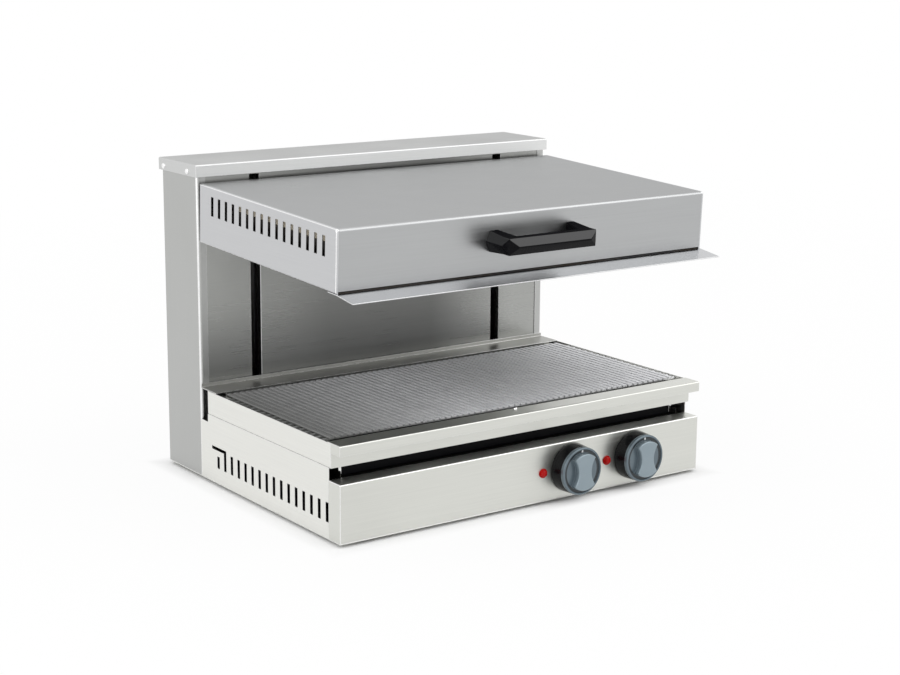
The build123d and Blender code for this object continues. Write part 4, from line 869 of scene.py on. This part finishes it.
base_low, base_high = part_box("base_bottom")
base_middle = (base_low + base_high) / 2
base_half = (base_high - base_low) / 2
spot = nodes.new("ShaderNodeSeparateXYZ")
links.new(place, spot.inputs["Vector"])
past = []                      # metres past the base's side on each axis
for axis, centre, reach in (("X", base_middle.x, base_half.x), ("Y", base_middle.y, base_half.y)):
    aside = combined(nodes, links, "SUBTRACT", spot.outputs[axis], centre)
    away = combined(nodes, links, "ABSOLUTE", aside, 0.0)
    past.append(combined(nodes, links, "SUBTRACT", away, reach))
outside = combined(nodes, links, "MAXIMUM", *past)
glow_share = ramp(
    nodes, links, spread(nodes, links, outside, 0.0, 1.0, 0.0, FAR_REACH),
    [(at, (share, share, share)) for at, share in GLOW_STOPS],
)
mixed = nodes.new("ShaderNodeMixShader")
seen_glow = combined(nodes, links, "MULTIPLY", seen_directly(nodes, links), glow_share)
links.new(seen_glow, mixed.inputs["Fac"])
links.new(matt_white.outputs["BSDF"], mixed.inputs[1])
links.new(glow.outputs["Emission"], mixed.inputs[2])
links.new(mixed.outputs["Shader"], nodes["Material Output"].inputs["Surface"])
floor_mesh.materials.append(floor_white)

ROOM_LEVEL = 0.75              # light of the room on surfaces; the room itself looks white
world = bpy.data.worlds.new("white_room")
bpy.context.scene.world = world
world.use_nodes = True
nodes = world.node_tree.nodes
links = world.node_tree.links
background = nodes["Background"]
background.inputs["Color"].default_value = (1.0, 1.0, 1.0, 1.0)
level = nodes.new("ShaderNodeMapRange")
level.inputs["To Min"].default_value = ROOM_LEVEL
level.inputs["To Max"].default_value = 1.0
links.new(seen_directly(nodes, links), level.inputs["Value"])
links.new(level.outputs["Result"], background.inputs["Strength"])


def soft_lamp(name, spot, target, size, power):
    """A square softbox that faces a target."""
    lamp = bpy.data.lights.new(name, "AREA")
    lamp.size = size
    lamp.energy = power
    holder = bpy.data.objects.new(name, lamp)
    bpy.context.scene.collection.objects.link(holder)
    holder.location = spot
    holder.rotation_euler = (Vector(target) - Vector(spot)).to_track_quat("-Z", "Y").to_euler()


middle = (cad_low + cad_high) / 2
soft_lamp("left_softbox", (-2.2, -0.6, 1.3), middle, size=2.2, power=20.0)
soft_lamp("front_softbox", (1.48, -1.73, 1.91), middle, size=2.4, power=22.0)
soft_lamp("top_softbox", (0.0, 0.2, 2.6), middle, size=2.4, power=6.0)


# Camera. It stands left of the grill's front and a little above it.
# Its place, turn and focal length are fitted to the photographed edges.

CAMERA_PLACE = (-1.4817, -2.0908, 0.7663)
CAMERA_BEARING = 35.64         # degrees that it looks to the right of straight back
CAMERA_DIP = 12.60             # degrees below level
CAMERA_ROLL = 0.46
FOCAL_PIXELS = 1868.9
IMAGE_WIDTH = 900
SENSOR_WIDTH = 36.0

camera_data = bpy.data.cameras.new("camera")
camera_data.sensor_fit = "HORIZONTAL"
camera_data.sensor_width = SENSOR_WIDTH
camera_data.lens = FOCAL_PIXELS * SENSOR_WIDTH / IMAGE_WIDTH
camera = bpy.data.objects.new("camera", camera_data)
bpy.context.scene.collection.objects.link(camera)
aim = Euler((math.radians(90 - CAMERA_DIP), 0.0, math.radians(-CAMERA_BEARING))).to_matrix()
aim = aim @ Matrix.Rotation(math.radians(CAMERA_ROLL), 3, "Z")
camera.matrix_world = Matrix.Translation(CAMERA_PLACE) @ aim.to_4x4()
bpy.context.scene.camera = camera
bpy.context.scene.view_settings.view_transform = "Standard"
